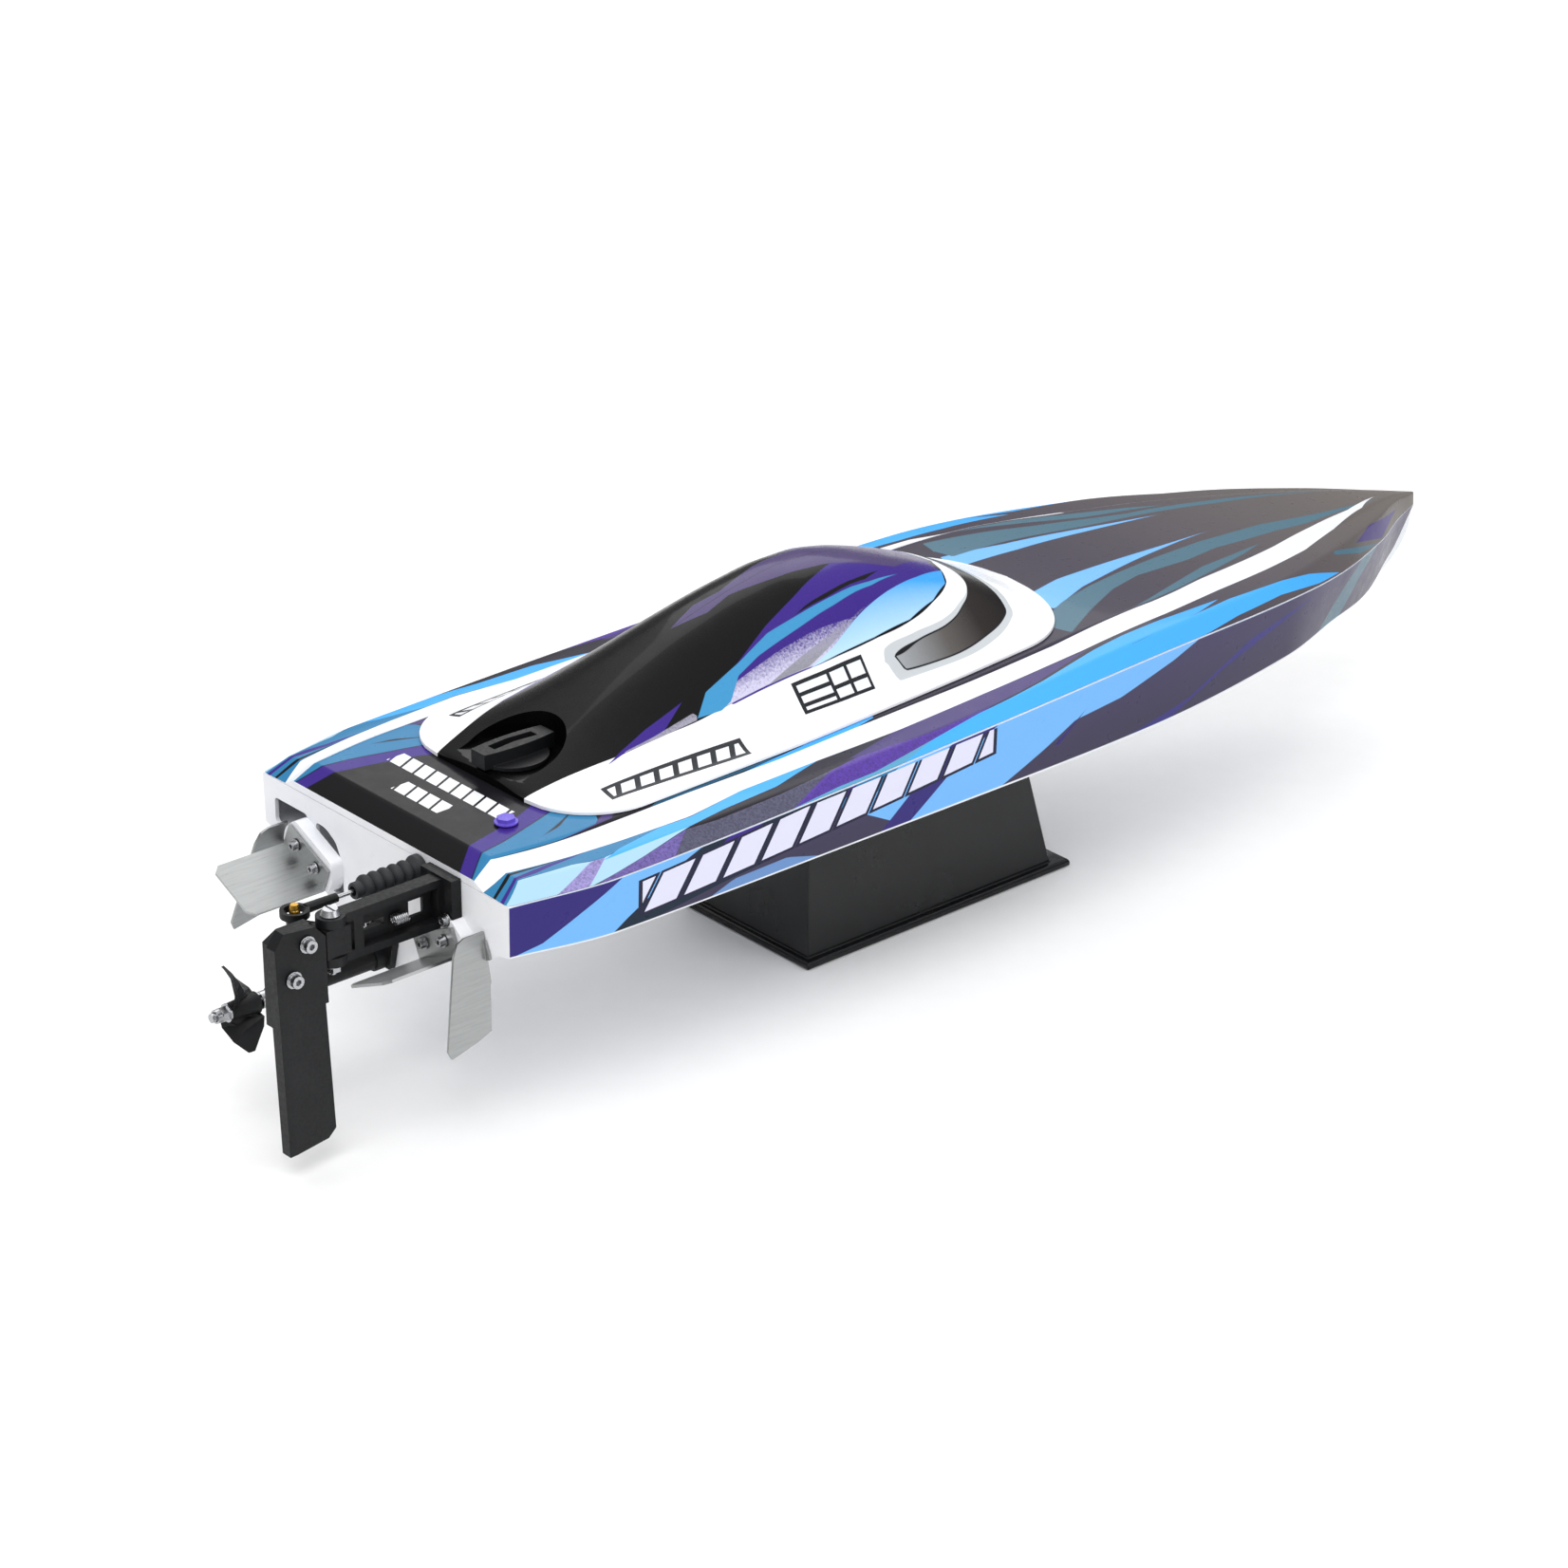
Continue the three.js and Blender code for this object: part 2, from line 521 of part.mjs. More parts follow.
function pivotScrew() {
  const head = rod([RUDDER_X, PIVOT_Y, ARM.top + GAP], [RUDDER_X, PIVOT_Y, ARM.top + 2.6], 4.2, 18, 3);
  const slot = box([RUDDER_X - 3, PIVOT_Y - 0.5, ARM.top + 1.9], [RUDDER_X + 3, PIVOT_Y + 0.5, ARM.top + 3]);
  const shank = rod([RUDDER_X, PIVOT_Y, ARM.bottomTip - 5], [RUDDER_X, PIVOT_Y, ARM.top + 1], 1.5, 12);
  return join(head, shank).subtract(slot);
}
add("rudder_pivot_screw", pivotScrew(), "steel");

function pivotNut() {
  const z = ARM.bottomTip - 0.5;
  const nut = join(
    rod([RUDDER_X, PIVOT_Y, z - 3.2], [RUDDER_X, PIVOT_Y, z - 0.6], 3.4, 6),
    rod([RUDDER_X, PIVOT_Y, z - 0.7], [RUDDER_X, PIVOT_Y, z], 4.2, 18),
  );
  return nut.subtract(rod([RUDDER_X, PIVOT_Y, z - 6], [RUDDER_X, PIVOT_Y, z + 2], 1.8, 12));
}
add("rudder_pivot_nut", pivotNut(), "steel");

// Steering block between the bracket's ears, its cheek for the blade and its tiller arm to port.
function rudderHolder() {
  const low = ARM.bottomTip + 4 + GAP;
  const high = ARM.top - 4 - GAP;
  const block = box([RUDDER_X - 5.5, PIVOT_Y - 5.6, low], [RUDDER_X + 5, PIVOT_Y + 6, high]);
  const cheekOutline = [
    [PIVOT_Y - 4, high], [PIVOT_Y - 6.6, high], [PIVOT_Y - 9, ARM.top - 1],
    [BLADE.aft + 8, ARM.top - 1], [BLADE.aft + 1.5, -14],
    [BLADE.aft + 1.5, -50], [BLADE.aft + 12, -50], [PIVOT_Y - 7, -31],
    [PIVOT_Y - 7, low], [PIVOT_Y - 4, low],
  ];
  const cheek = sidePlate(cheekOutline, RUDDER_X - 5.5, RUDDER_X - 1);
  const tiller = slab(
    [
      [RUDDER_X - 1.5, PIVOT_Y - 5.4], [BALL.x + 1, BALL.y - 3.6],
      [BALL.x - 3.4, BALL.y - 2], [BALL.x - 3.4, BALL.y + 2],
      [BALL.x + 1, BALL.y + 3.6], [RUDDER_X - 5, PIVOT_Y + 5],
    ],
    -20.4,
    -17.4,
  );
  const bore = rod([RUDDER_X, PIVOT_Y, -60], [RUDDER_X, PIVOT_Y, 0], 1.9, 14);
  const holes = BLADE_SCREWS.map(([y, z]) => rod([RUDDER_X - 20, y, z], [RUDDER_X + 20, y, z], 1.8, 12));
  const ballHole = rod([BALL.x, BALL.y, -30], [BALL.x, BALL.y, -5], 1.5, 10);
  return cut(join(block, cheek, tiller), bore, ballHole, ...holes);
}
const BLADE_SCREWS = [
  [PIVOT_Y - 15, -15.5],
  [PIVOT_Y - 22, -28.5],
];
add("rudder_holder", rudderHolder(), "blackPlastic");

function ballStud() {
  const ball = new THREE.SphereGeometry(BALL.radius, 14, 10);
  ball.rotateX(Math.PI / 2).translate(BALL.x, BALL.y, BALL.z);
  const post = rod([BALL.x, BALL.y, -23.2], [BALL.x, BALL.y, BALL.z], 1.2, 10);
  const collar = rod([BALL.x, BALL.y, -17.1], [BALL.x, BALL.y, -16], 2, 12);
  const head = rod([BALL.x, BALL.y, BALL.z + 1.6], [BALL.x, BALL.y, BALL.z + 3.6], 2.2, 12, 1.6);
  return join(asSolid(ball), post, collar, head);
}
add("tiller_ball_stud", ballStud(), "brass");

// Wedge-section blade: blunt at the trailing edge and sharp at the leading edge below its flat head.
function rudderBlade() {
  const x0 = RUDDER_X - 0.6;
  const outline = [
    [BLADE.aft + BLADE.chord, -15], [BLADE.aft + BLADE.chord, -40],
    [BLADE.aft + BLADE.chord + BLADE.rake, BLADE.bottom + 4],
    [BLADE.aft + BLADE.chord + BLADE.rake - 4, BLADE.bottom + 0.8], [BLADE.aft + BLADE.rake, BLADE.bottom],
    [BLADE.aft, -14], [BLADE.aft + 4.5, BLADE.top], [BLADE.aft + BLADE.chord - 5, BLADE.top - 1.5],
  ];
  const plate = sidePlate(outline, x0, x0 + BLADE.thickness);
  const wedgeFace = (side) => {
    const edge = side > 0 ? x0 + BLADE.thickness : x0;
    const lead = x0 + BLADE.thickness / 2 + side * 0.4;
    const y = [BLADE.aft + 6, BLADE.aft + BLADE.chord + 6];
    const tip = edge + (lead - edge) * 1.25;
    return slab(
      [[edge, y[0]], [edge + side * 6, y[0]], [edge + side * 6, y[1]], [tip, y[1]]], BLADE.bottom - 5, -44
    );
  };
  const holes = BLADE_SCREWS.map(([y, z]) => rod([x0 - 2, y, z], [x0 + 12, y, z], 1.8, 12));
  return cut(plate, wedgeFace(1), wedgeFace(-1), ...holes);
}
add("rudder_blade", rudderBlade(), "blackPlastic");
// The shear screw ends inside the blade, so the blade can swing up past the holder's cheek.
BLADE_SCREWS.forEach(([y, z], i) => {
  const shank = i ? BLADE.thickness - 0.5 : BLADE.thickness + 8;
  const screw = capScrew([RUDDER_X - 0.6 + BLADE.thickness, y, z], [1, 0, 0], 2.7, 2.8, 1.4, shank);
  add(`blade_screw_${i ? "shear" : "pivot"}`, screw, "steel");
});

// ---------------------------------------------------------------- pushrod and servo
const ROD_Z = BALL.z;
function pushrodRod() {
  return rod([BALL.x, BALL.y + 17, ROD_Z], [BALL.x, SERVO.y + 2, ROD_Z], PUSHROD_RADIUS, 8);
}
const EYE_CLEARANCE = 2;
function ballLink() {
  const eye = rod(
    [BALL.x, BALL.y, ROD_Z - 1.6], [BALL.x, BALL.y, ROD_Z + 1.4], BALL.radius + EYE_CLEARANCE + 1.7, 20
  );
  const barrel = rod([BALL.x, BALL.y + 5, ROD_Z], [BALL.x, BALL.y + 20, ROD_Z], 2.2, 12, 1.9);
  const hole = rod([BALL.x, BALL.y, ROD_Z - 5], [BALL.x, BALL.y, ROD_Z + 5], BALL.radius + EYE_CLEARANCE, 20);
  const bore = rod([BALL.x, BALL.y + 16.7, ROD_Z], [BALL.x, BALL.y + 30, ROD_Z], PUSHROD_RADIUS + GAP, 10);
  return cut(join(eye, barrel), hole, bore);
}
add("pushrod", pushrodRod(), "steel");
add("pushrod_ball_link", ballLink(), "blackPlastic");

// Bellows boot: a lathe profile of round folds with an open bore for the rod.
function pushrodBoot() {
  const bore = PUSHROD_RADIUS + 1.1;
  const fold = (BOOT.length - 9) / BOOT.folds;
  const outer = [[bore + 1.2, 0], [bore + 1.2, 3]];
  for (let i = 0; i < BOOT.folds; i++) {
    const start = 3.5 + i * fold;
    outer.push(
      [BOOT.radius - 1.7, start], [BOOT.radius, start + fold * 0.3], [BOOT.radius, start + fold * 0.7]
    );
  }
  outer.push(
    [BOOT.radius - 1.7, 3.5 + BOOT.folds * fold], [BOOT.radius + 0.6, BOOT.length - 3.5],
    [BOOT.radius + 0.6, BOOT.length - 0.5]
  );
  const profile = [
    ...outer, [bore, BOOT.length - 0.5], [bore, 0], outer[0]
  ].map(([r, y]) => new THREE.Vector2(r, y));
  const g = new THREE.LatheGeometry(profile, 16);
  return asSolid(g.translate(BALL.x, -BOOT.length, ROD_Z));
}
add("pushrod_boot", pushrodBoot(), "rubber");

function servoCase() {
  const [x, y] = [SERVO.x, SERVO.y];
  const housing = box([x - 10, y - 10, -41], [x + 10, y + 30, -21]);
  const ears = box([x - 10, y - 17, -27], [x + 10, y + 37, -25]);
  const boss = rod([x, y, -22], [x, y, -18.5], 6, 18);
  return join(housing, ears, boss);
}
function servoTray() {
  const [x, y] = [SERVO.x, SERVO.y];
  const frame = box([x - 13, y - 19, -29.5], [x + 13, y + 39, -27.3]);
  const hole = box([x - 10.5, y - 10.5, -40], [x + 10.5, y + 30.5, -20]);
  return frame.subtract(hole);
}
const ARM_Z = -15.5;
function servoArm() {
  const hub = rod([SERVO.x, SERVO.y, -18.2], [SERVO.x, SERVO.y, ARM_Z], 4.2, 16);
  const lever = slab(
    [
      [SERVO.x, SERVO.y - 3.4], [SERVO.x, SERVO.y + 3.4], [BALL.x + 3.2, SERVO.y + 2.2],
      [BALL.x - 2.4, SERVO.y], [BALL.x + 3.2, SERVO.y - 2.2]
    ],
    ARM_Z - 1.9,
    ARM_Z,
  );
  return join(hub, lever);
}
add("servo_case", servoCase(), "blackPlastic");
add("servo_tray", servoTray(), "whitePaint");
add("servo_arm", servoArm(), "blackPlastic");

// ---------------------------------------------------------------- drive line
const COUPLING_Y = 140;
const SHAFT_ROUTE = [
  [0, -52, SHAFT_Z], [0, -20, SHAFT_Z], [0, 20, SHAFT_Z], [0, 60, SHAFT_Z + 1.5],
  [0, 95, MOTOR.z - 12], [0, 122, MOTOR.z - 1.5], [0, COUPLING_Y, MOTOR.z],
];
add(
  "stuffing_tube",
  tubeAlong(
    SHAFT_ROUTE.slice(1).map(([x, y, z]) => [x, Math.min(y, 132), z]), TUBE.outer, 12, 22, TUBE.inner
  ),
  "brass"
);
add("flex_shaft", tubeAlong(SHAFT_ROUTE, TUBE.shaft, 8, 26), "steel");

// Strut: a transom flange that carries the tube's sleeve.
function strut() {
  const flange = crossPlate([[-9, -44], [9, -44], [9, -54], [6, -66], [-6, -66], [-9, -54]], -3.5, -GAP);
  const sleeve = rod([0, STRUT_END, SHAFT_Z], [0, -1, SHAFT_Z], 4.2, 20);
  const web = sidePlate(
    [[-3, -46], [-3, SHAFT_Z], [STRUT_END + 8, SHAFT_Z], [STRUT_END + 8, SHAFT_Z + 4.2]], -1.4, 1.4
  );
  const ringEnd = rod([0, -8, SHAFT_Z], [0, -3, SHAFT_Z], 5.2, 20);
  const bore = rod([0, -80, SHAFT_Z], [0, 10, SHAFT_Z], TUBE.outer + GAP, 18);
  return join(flange, sleeve, web, ringEnd).subtract(bore);
}
add("strut", strut(), "blackPlastic");
[-6, 6].forEach(
  (x) => add(
    `strut_screw_${x < 0 ? "port" : "starboard"}`, capScrew([x, -3.5, -49], [0, -1, 0], 2, 2, 1, 0), "steel"
  )
);

add("propeller_shaft", rod([0, -86, SHAFT_Z], [0, -52.6, SHAFT_Z], 1.9, 14), "steel");
function driveDog() {
  const ring = join(
    rod([0, -62.6, SHAFT_Z], [0, STRUT_END - 0.6, SHAFT_Z], 3.6, 18),
    box([-1, -64, SHAFT_Z - 3.4], [1, -62, SHAFT_Z + 3.4]),
  );
  return ring.subtract(rod([0, -70, SHAFT_Z], [0, -50, SHAFT_Z], 1.9 + GAP, 14));
}
add("drive_dog", driveDog(), "steel");

// One blade: rings along a helical span, broad and raked near its tip.
function blade(angle) {
  const rings = [0, 0.25, 0.5, 0.75, 1].map((t) => {
    const r = PROPELLER.root + (PROPELLER.radius - PROPELLER.root) * t;
    const chord = (10 + 9 * Math.sin(Math.PI * Math.min(1, t * 1.15 + 0.08))) * (t === 1 ? 0.3 : 1);
    const pitch = Math.atan2(8, r);
    const sweep = 0.75 * t;
    const thick = 1.7 - 0.7 * t;
    return [[-0.5, -0.15], [-0.5, 0.25], [0, 1], [0.5, 0.25], [0.5, -0.15], [0, -0.4]].map(([c, w]) => {
      const around = (c * chord * Math.cos(pitch)) / Math.max(r, 6) + angle + sweep;
      const y = PROPELLER.y - 3 * t + c * chord * Math.sin(pitch) + w * thick;
      return V(r * Math.cos(around), y, SHAFT_Z + r * Math.sin(around));
    });
  });
  return loft(rings);
}
function propeller() {
  const [rear, front] = [PROPELLER.y - PROPELLER.hubLength / 2, PROPELLER.y + PROPELLER.hubLength / 2 - 0.8];
  const hub = rod([0, rear, SHAFT_Z], [0, front, SHAFT_Z], PROPELLER.hub - 0.9, 18, PROPELLER.hub);
  const bore = rod([0, -90, SHAFT_Z], [0, -55, SHAFT_Z], 1.9 + GAP, 14);
  return cut(join(hub, blade(1.35), blade(1.35 + Math.PI)), bore);
}
add("propeller", propeller(), "blackPlastic");
function propNut() {
  const nut = join(
    rod([0, -81.6, SHAFT_Z], [0, -78.5, SHAFT_Z], 3.4, 6),
    rod([0, -84, SHAFT_Z], [0, -81.5, SHAFT_Z], 2.9, 16, 2.9),
    rod([0, -78.6, SHAFT_Z], [0, -77.9, SHAFT_Z], 3.9, 18),
  );
  return nut.subtract(rod([0, -90, SHAFT_Z], [0, -70, SHAFT_Z], 1.9 + GAP, 14));
}
add("propeller_nut", propNut(), "steel");

function shaftCoupler() {
  const collet = join(
    rod([0, COUPLING_Y + 1, MOTOR.z], [0, COUPLING_Y + 15, MOTOR.z], 6, 20),
    rod([0, COUPLING_Y + 15, MOTOR.z], [0, COUPLING_Y + 21, MOTOR.z], 7.2, 6),
  );
  return collet.subtract(rod([0, COUPLING_Y + 14, MOTOR.z], [0, COUPLING_Y + 30, MOTOR.z], 2.5 + GAP, 14));
}
add("shaft_coupler", shaftCoupler(), "steel");
const motorEnd = MOTOR.y + MOTOR.length;
add("motor_shaft", rod([0, COUPLING_Y + 14.4, MOTOR.z], [0, motorEnd - 8, MOTOR.z], 2.5, 14), "steel");

function motorCan() {
  const can = rod([0, MOTOR.y, MOTOR.z], [0, motorEnd, MOTOR.z], MOTOR.radius, 28);
  return can.subtract(rod([0, MOTOR.y - 2, MOTOR.z], [0, motorEnd - 6, MOTOR.z], 2.5 + GAP * 2, 14));
}
add("motor_can", motorCan(), "glossBlack");
function motorMount() {
  const plate = crossPlate(
    [[-22, -61], [22, -61], [24, -28], [12, -19], [-12, -19], [-24, -28]], MOTOR.y - 4, MOTOR.y - GAP
  );
  const foot = box([-23, MOTOR.y - 4, -59.5], [23, MOTOR.y + 18, -57.5 - GAP]);
  const bore = rod([0, MOTOR.y - 10, MOTOR.z], [0, MOTOR.y + 1, MOTOR.z], 9, 20);
  const cradle = rod([0, MOTOR.y - 1, MOTOR.z], [0, MOTOR.y + 30, MOTOR.z], MOTOR.radius + GAP, 28);
  return join(plate, foot.subtract(cradle)).subtract(bore).intersect(body(SKIN + 0.5, 10, 400));
}
add("motor_mount", motorMount(), "blueAlloy");
function waterJacket() {
  const [a, b] = [MOTOR.y + 20, MOTOR.y + 46];
  const barrel = rod([0, a, MOTOR.z], [0, b, MOTOR.z], MOTOR.radius + 2.6, 28);
  const nipples = [a + 5, b - 5].map((y) => rod([0, y, MOTOR.z + 18], [0, y, MOTOR.z + 27], 1.8, 10));
  return join(barrel, ...nipples).subtract(
    rod([0, a - 2, MOTOR.z], [0, b + 2, MOTOR.z], MOTOR.radius + GAP, 28)
  );
}
add("water_jacket", waterJacket(), "blueAlloy");

// ---------------------------------------------------------------- electronics
function finnedCase(low, high) {
  const fins = [];
  for (let y = low[1] + 5; y < high[1] - 4; y += 5) fins.push(
    box([low[0] + 3, y, high[2] - 0.1], [high[0] - 3, y + 1.8, high[2] + 4])
  );
  return join(box(low, high), ...fins);
}
add("speed_controller", finnedCase([34, 172, -40], [66, 232, -22]), "blueAlloy");
add(
  "receiver_box", join(box([-24.5, 74, -50], [-6, 118, -28]), box([-25.5, 72, -28.2], [-5, 120, -25])),
  "blackPlastic"
);

const PACK = { x: 23.5, y: 248, length: 128, z: -49, height: 26 };
function batteryTray() {
  const floor = box(
    [-PACK.x - 2, PACK.y - 6, PACK.z - 2.4], [PACK.x + 2, PACK.y + PACK.length + 4, PACK.z - GAP]
  );
  const stop = box(
    [-PACK.x - 2, PACK.y + PACK.length + 1, PACK.z - 2.4],
    [PACK.x + 2, PACK.y + PACK.length + 3.4, PACK.z + 12]
  );
  return join(floor, stop);
}
add("battery_tray", batteryTray(), "whitePaint");
add(
  "battery_pack", box([-PACK.x, PACK.y, PACK.z], [PACK.x, PACK.y + PACK.length, PACK.z + PACK.height]),
  "wrap"
);
function batteryStrap(y) {
  const [w, h] = [PACK.x + GAP, PACK.z + PACK.height + GAP];
  const outer = box([-w - 1.2, y, PACK.z], [w + 1.2, y + 20, h + 1.2]);
  return outer.subtract(box([-w, y - 2, PACK.z - 5], [w, y + 22, h]));
}
[275, 335].forEach((y, i) => add(`battery_strap_${i ? "front" : "rear"}`, batteryStrap(y), "foam"));

["a", "b", "c"].forEach((phase, i) => {
  const z = MOTOR.z + 9 - i * 7;
  add(
    `motor_lead_${phase}`,
    tubeAlong(
      [
        [8, motorEnd + GAP, z], [8, motorEnd + 4, z], [13, motorEnd + 9, z], [30, motorEnd + 11, z + 3 - i],
        [41 + i * 6, motorEnd + 10, -28 - i * 3], [44 + i * 6, motorEnd + 5, -28 - i * 3],
        [44 + i * 6, 232 + GAP, -28 - i * 3]
      ],
      1.7, 8, 24
    ),
    "blueAlloy",
  );
});

// ---------------------------------------------------------------- turn fins, trim tabs and their screws
// Starboard fin in boat coordinates: a flange on the transom and a plate that leans outboard.
function turnFin(side) {
  const { x, z, depth, chord, lean, rake } = FIN;
  const across = V(1, 0, lean).normalize().multiplyScalar(PLATE);
  const corner = (down, aft) => V(x + lean * down, -GAP - aft, z - down);
  const outline = [
    [0, 0], [0, chord * 0.45], [1.6, chord * 0.62], [6, chord * 0.74], [depth - 4, chord + rake * depth - 1],
    [
      depth - 0.5, chord + rake * depth - 2.5
    ], [depth - 3.5, 6 + rake * depth], [depth - 6, 3.2], [22, 0.6], [21, 0],
  ];
  const near = outline.map(([d, a]) => corner(d, a));
  const far = near.map((p) => p.clone().sub(across));
  const plate = prismBetween(near, far);
  const flange = box([-FIN.flange, -GAP - PLATE, -FIN.flangeTop - FIN.strip], [-0.1, -GAP, -FIN.flangeTop]);
  const turn = new THREE.Matrix4().makeRotationY(-DEADRISE).setPosition(x + 0.2, 0, z);
  const whole = join(plate, placed(flange, turn));
  const p = finScrewPoint();
  return mirrored(cut(whole, rod([p.x, -10, p.z], [p.x, 5, p.z], 1.4, 10)), side);
}
function prismBetween(near, far) {
  const n = near.length;
  const flatShape = THREE.ShapeUtils.triangulateShape(near.map((p) => new THREE.Vector2(p.y, p.z)), []);
  const faces = [];
  flatShape.forEach(([a, b, c]) => faces.push(a, b, c, n + c, n + b, n + a));
  for (let i = 0; i < n; i++) {
    const j = (i + 1) % n;
    faces.push(j, i, n + i, j, n + i, n + j);
  }
  const g = new THREE.BufferGeometry();
  g.setAttribute(
    "position", new THREE.Float32BufferAttribute([...near, ...far].flatMap((p) => p.toArray()), 3)
  );
  g.setIndex(faces);
  const solid = asSolid(g);
  if (solid.volume() > 0) return solid;
  g.setIndex(faces.reverse());
  return asSolid(g);
}
const onBottom = (x0, z0, out, up) =>
  V(
    x0 + out * Math.cos(DEADRISE) - up * Math.sin(DEADRISE), 0,
    z0 + out * Math.sin(DEADRISE) + up * Math.cos(DEADRISE)
  );
function finScrewPoint() {
  return onBottom(FIN.x, FIN.z, -8, -FIN.flangeTop - FIN.strip / 2);
}
function mirrored(solid, side) {
  return side > 0 ? solid : solid.mirror([1, 0, 0]);
}

// Trim tab: a strip against the mounting block and a plate that carries the bottom's slope aft.
function onTab(tabZ) {
  return new THREE.Matrix4().makeRotationY(-DEADRISE).setPosition(TAB.x, 0, tabZ - TAB.strip);
}

function tabScrewHoles() {
  const { out, up } = TAB_SCREW;
  return [-out, out].map((x) => rod([x, -20, up], [x, -0.2, up], 1.4, 10));
}

function trimTab({ sign, tabZ }) {
  const half = TAB.width / 2;
  const front = -TAB.block - GAP;
  const aft = -TAB.block - TAB.length;
  const strip = box([-half, front - PLATE, 0], [half, front, TAB.strip]);
  const corners = [
    [-half, front], [-half, aft + 3], [-half + 3, aft], [half - 3, aft], [half, aft + 3], [half, front],
  ];
  const plate = slab(corners, -PLATE, 0.01);
  return mirrored(placed(cut(join(strip, plate), ...tabScrewHoles()), onTab(tabZ)), sign);
}

function tabBlock({ sign, tabZ, blockFrom }) {
  const half = TAB.width / 2 + 2;
  const top = TAB.strip + 3;
  const outline = [
    [-half, blockFrom], [half, blockFrom], [half + 1, 6], [half - 3, top], [-half + 3, top], [-half - 1, 6],
  ];
  const block = cut(crossPlate(outline, -TAB.block, SKIN / 2), ...tabScrewHoles());
  return mirrored(placed(block, onTab(tabZ)), sign);
}

SIDES.forEach((side) => {
  add(`turn_fin_${side.name}`, turnFin(side.sign), "brushed");
  add(`trim_tab_${side.name}`, trimTab(side), "brushed");
  [-1, 1].forEach((k, i) => {
    const p = onBottom(TAB.x, side.tabZ - TAB.strip, k * TAB_SCREW.out, TAB_SCREW.up);
    const screw = capScrew([p.x, -TAB.block - GAP - PLATE, p.z], [0, -1, 0], 2, 2, 1.1, 5);
    add(`tab_screw_${side.name}_${i + 1}`, mirrored(screw, side.sign), "steel");
  });
  const p = finScrewPoint();
  const screw = capScrew([p.x, -GAP - PLATE, p.z], [0, -1, 0], 2, 2, 1.1, 1.2);
  add(`fin_screw_${side.name}`, mirrored(screw, side.sign), "steel");
});

// ---------------------------------------------------------------- stand
// A vacuum-formed tray: open underneath, a rolled lip on the table and a V-shaped saddle on top.
function boatStand() {
  const top = -KEEL_DEPTH + 30;
  const wallRing = (z, inset) => {
    const t = (z + DECK_HEIGHT) / (DECK_HEIGHT - KEEL_DEPTH);
    const half = STAND.body - 1.5 * t - inset;
    const rear = STAND.rear + 3 + 1.5 * t + inset;
    const front = STAND.front - 8.5 - STAND.slope * t - inset;
    return [V(-half, rear, z), V(half, rear, z), V(half, front, z), V(-half, front, z)];
  };
  const outer = loft([-DECK_HEIGHT, top].map((z) => wallRing(z, 0)));
  const saddle = body(-2 * GAP, STAND.rear - 20, STAND.front + 20);
  const innerSaddle = saddle.translate([0, 0, -STAND.wall * 1.1]);
  const hollow = loft([-DECK_HEIGHT - 2, top].map((z) => wallRing(z, STAND.wall)));
  const inner = hollow.subtract(innerSaddle).subtract(saddle);
  const lipRing = (z, grow) => [
    V(-STAND.half - grow, STAND.rear - grow, z), V(STAND.half + grow, STAND.rear - grow, z),
    V(STAND.half + grow, STAND.front + grow, z), V(-STAND.half - grow, STAND.front + grow, z),
  ];
  const lip = loft(
    [
      [-DECK_HEIGHT, 0], [-DECK_HEIGHT + STAND.lip - 1, 0], [-DECK_HEIGHT + STAND.lip, -1]
    ].map(([z, g]) => lipRing(z, g))
  );
  return cut(join(outer, lip), saddle, inner);
}
add("boat_stand", boatStand(), "glossBlack");

export default boat;
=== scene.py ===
"""Looks of a radio-controlled deep-V racing boat on its stand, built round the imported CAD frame.

Boat coordinates are millimetres: y = 0 at the transom and +y to the bow, +x to starboard, z = 0 at the
stern deck. Meshes are made in them and moved to the frame's metres by part_frame().
"""
import json
import math

import bmesh
import bpy
import numpy as np
from mathutils import Matrix, Vector


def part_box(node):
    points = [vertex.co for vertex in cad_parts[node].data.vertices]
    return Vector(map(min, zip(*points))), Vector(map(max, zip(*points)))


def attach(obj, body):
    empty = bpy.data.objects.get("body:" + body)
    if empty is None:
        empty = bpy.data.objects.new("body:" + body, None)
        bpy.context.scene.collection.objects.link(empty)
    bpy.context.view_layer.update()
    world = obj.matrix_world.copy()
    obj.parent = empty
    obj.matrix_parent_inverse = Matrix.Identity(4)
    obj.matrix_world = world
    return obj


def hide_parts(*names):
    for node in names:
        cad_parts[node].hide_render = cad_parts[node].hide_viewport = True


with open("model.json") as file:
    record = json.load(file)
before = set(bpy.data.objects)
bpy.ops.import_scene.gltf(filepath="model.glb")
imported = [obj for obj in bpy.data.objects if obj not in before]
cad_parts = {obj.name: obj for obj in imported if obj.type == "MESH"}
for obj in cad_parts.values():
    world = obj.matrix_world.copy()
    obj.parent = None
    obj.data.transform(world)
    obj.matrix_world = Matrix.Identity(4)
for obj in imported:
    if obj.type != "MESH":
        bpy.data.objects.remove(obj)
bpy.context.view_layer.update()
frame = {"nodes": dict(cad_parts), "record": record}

# ---- driving dimensions
MM = 0.001
DECK_LOW, DECK_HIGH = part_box("deck_shell")
TRANSOM_Y = DECK_LOW.y
LENGTH = (DECK_HIGH.y - DECK_LOW.y) / MM
DECK_Z = 0.116
SKIN = 1.8
GAP = 0.3
KEEL_DEPTH = 68.5
FOREFOOT_Y = 540
STEM_TIP_Z = -26
BOW_TAPER = 120
STERN_CHAMFER, STERN_DROP = 9.6, 6.3
BEVEL = 8
CHINE_FLAT = 6
STRAKES = 8  # the paint's second coordinate runs 0 to 8 round the half section

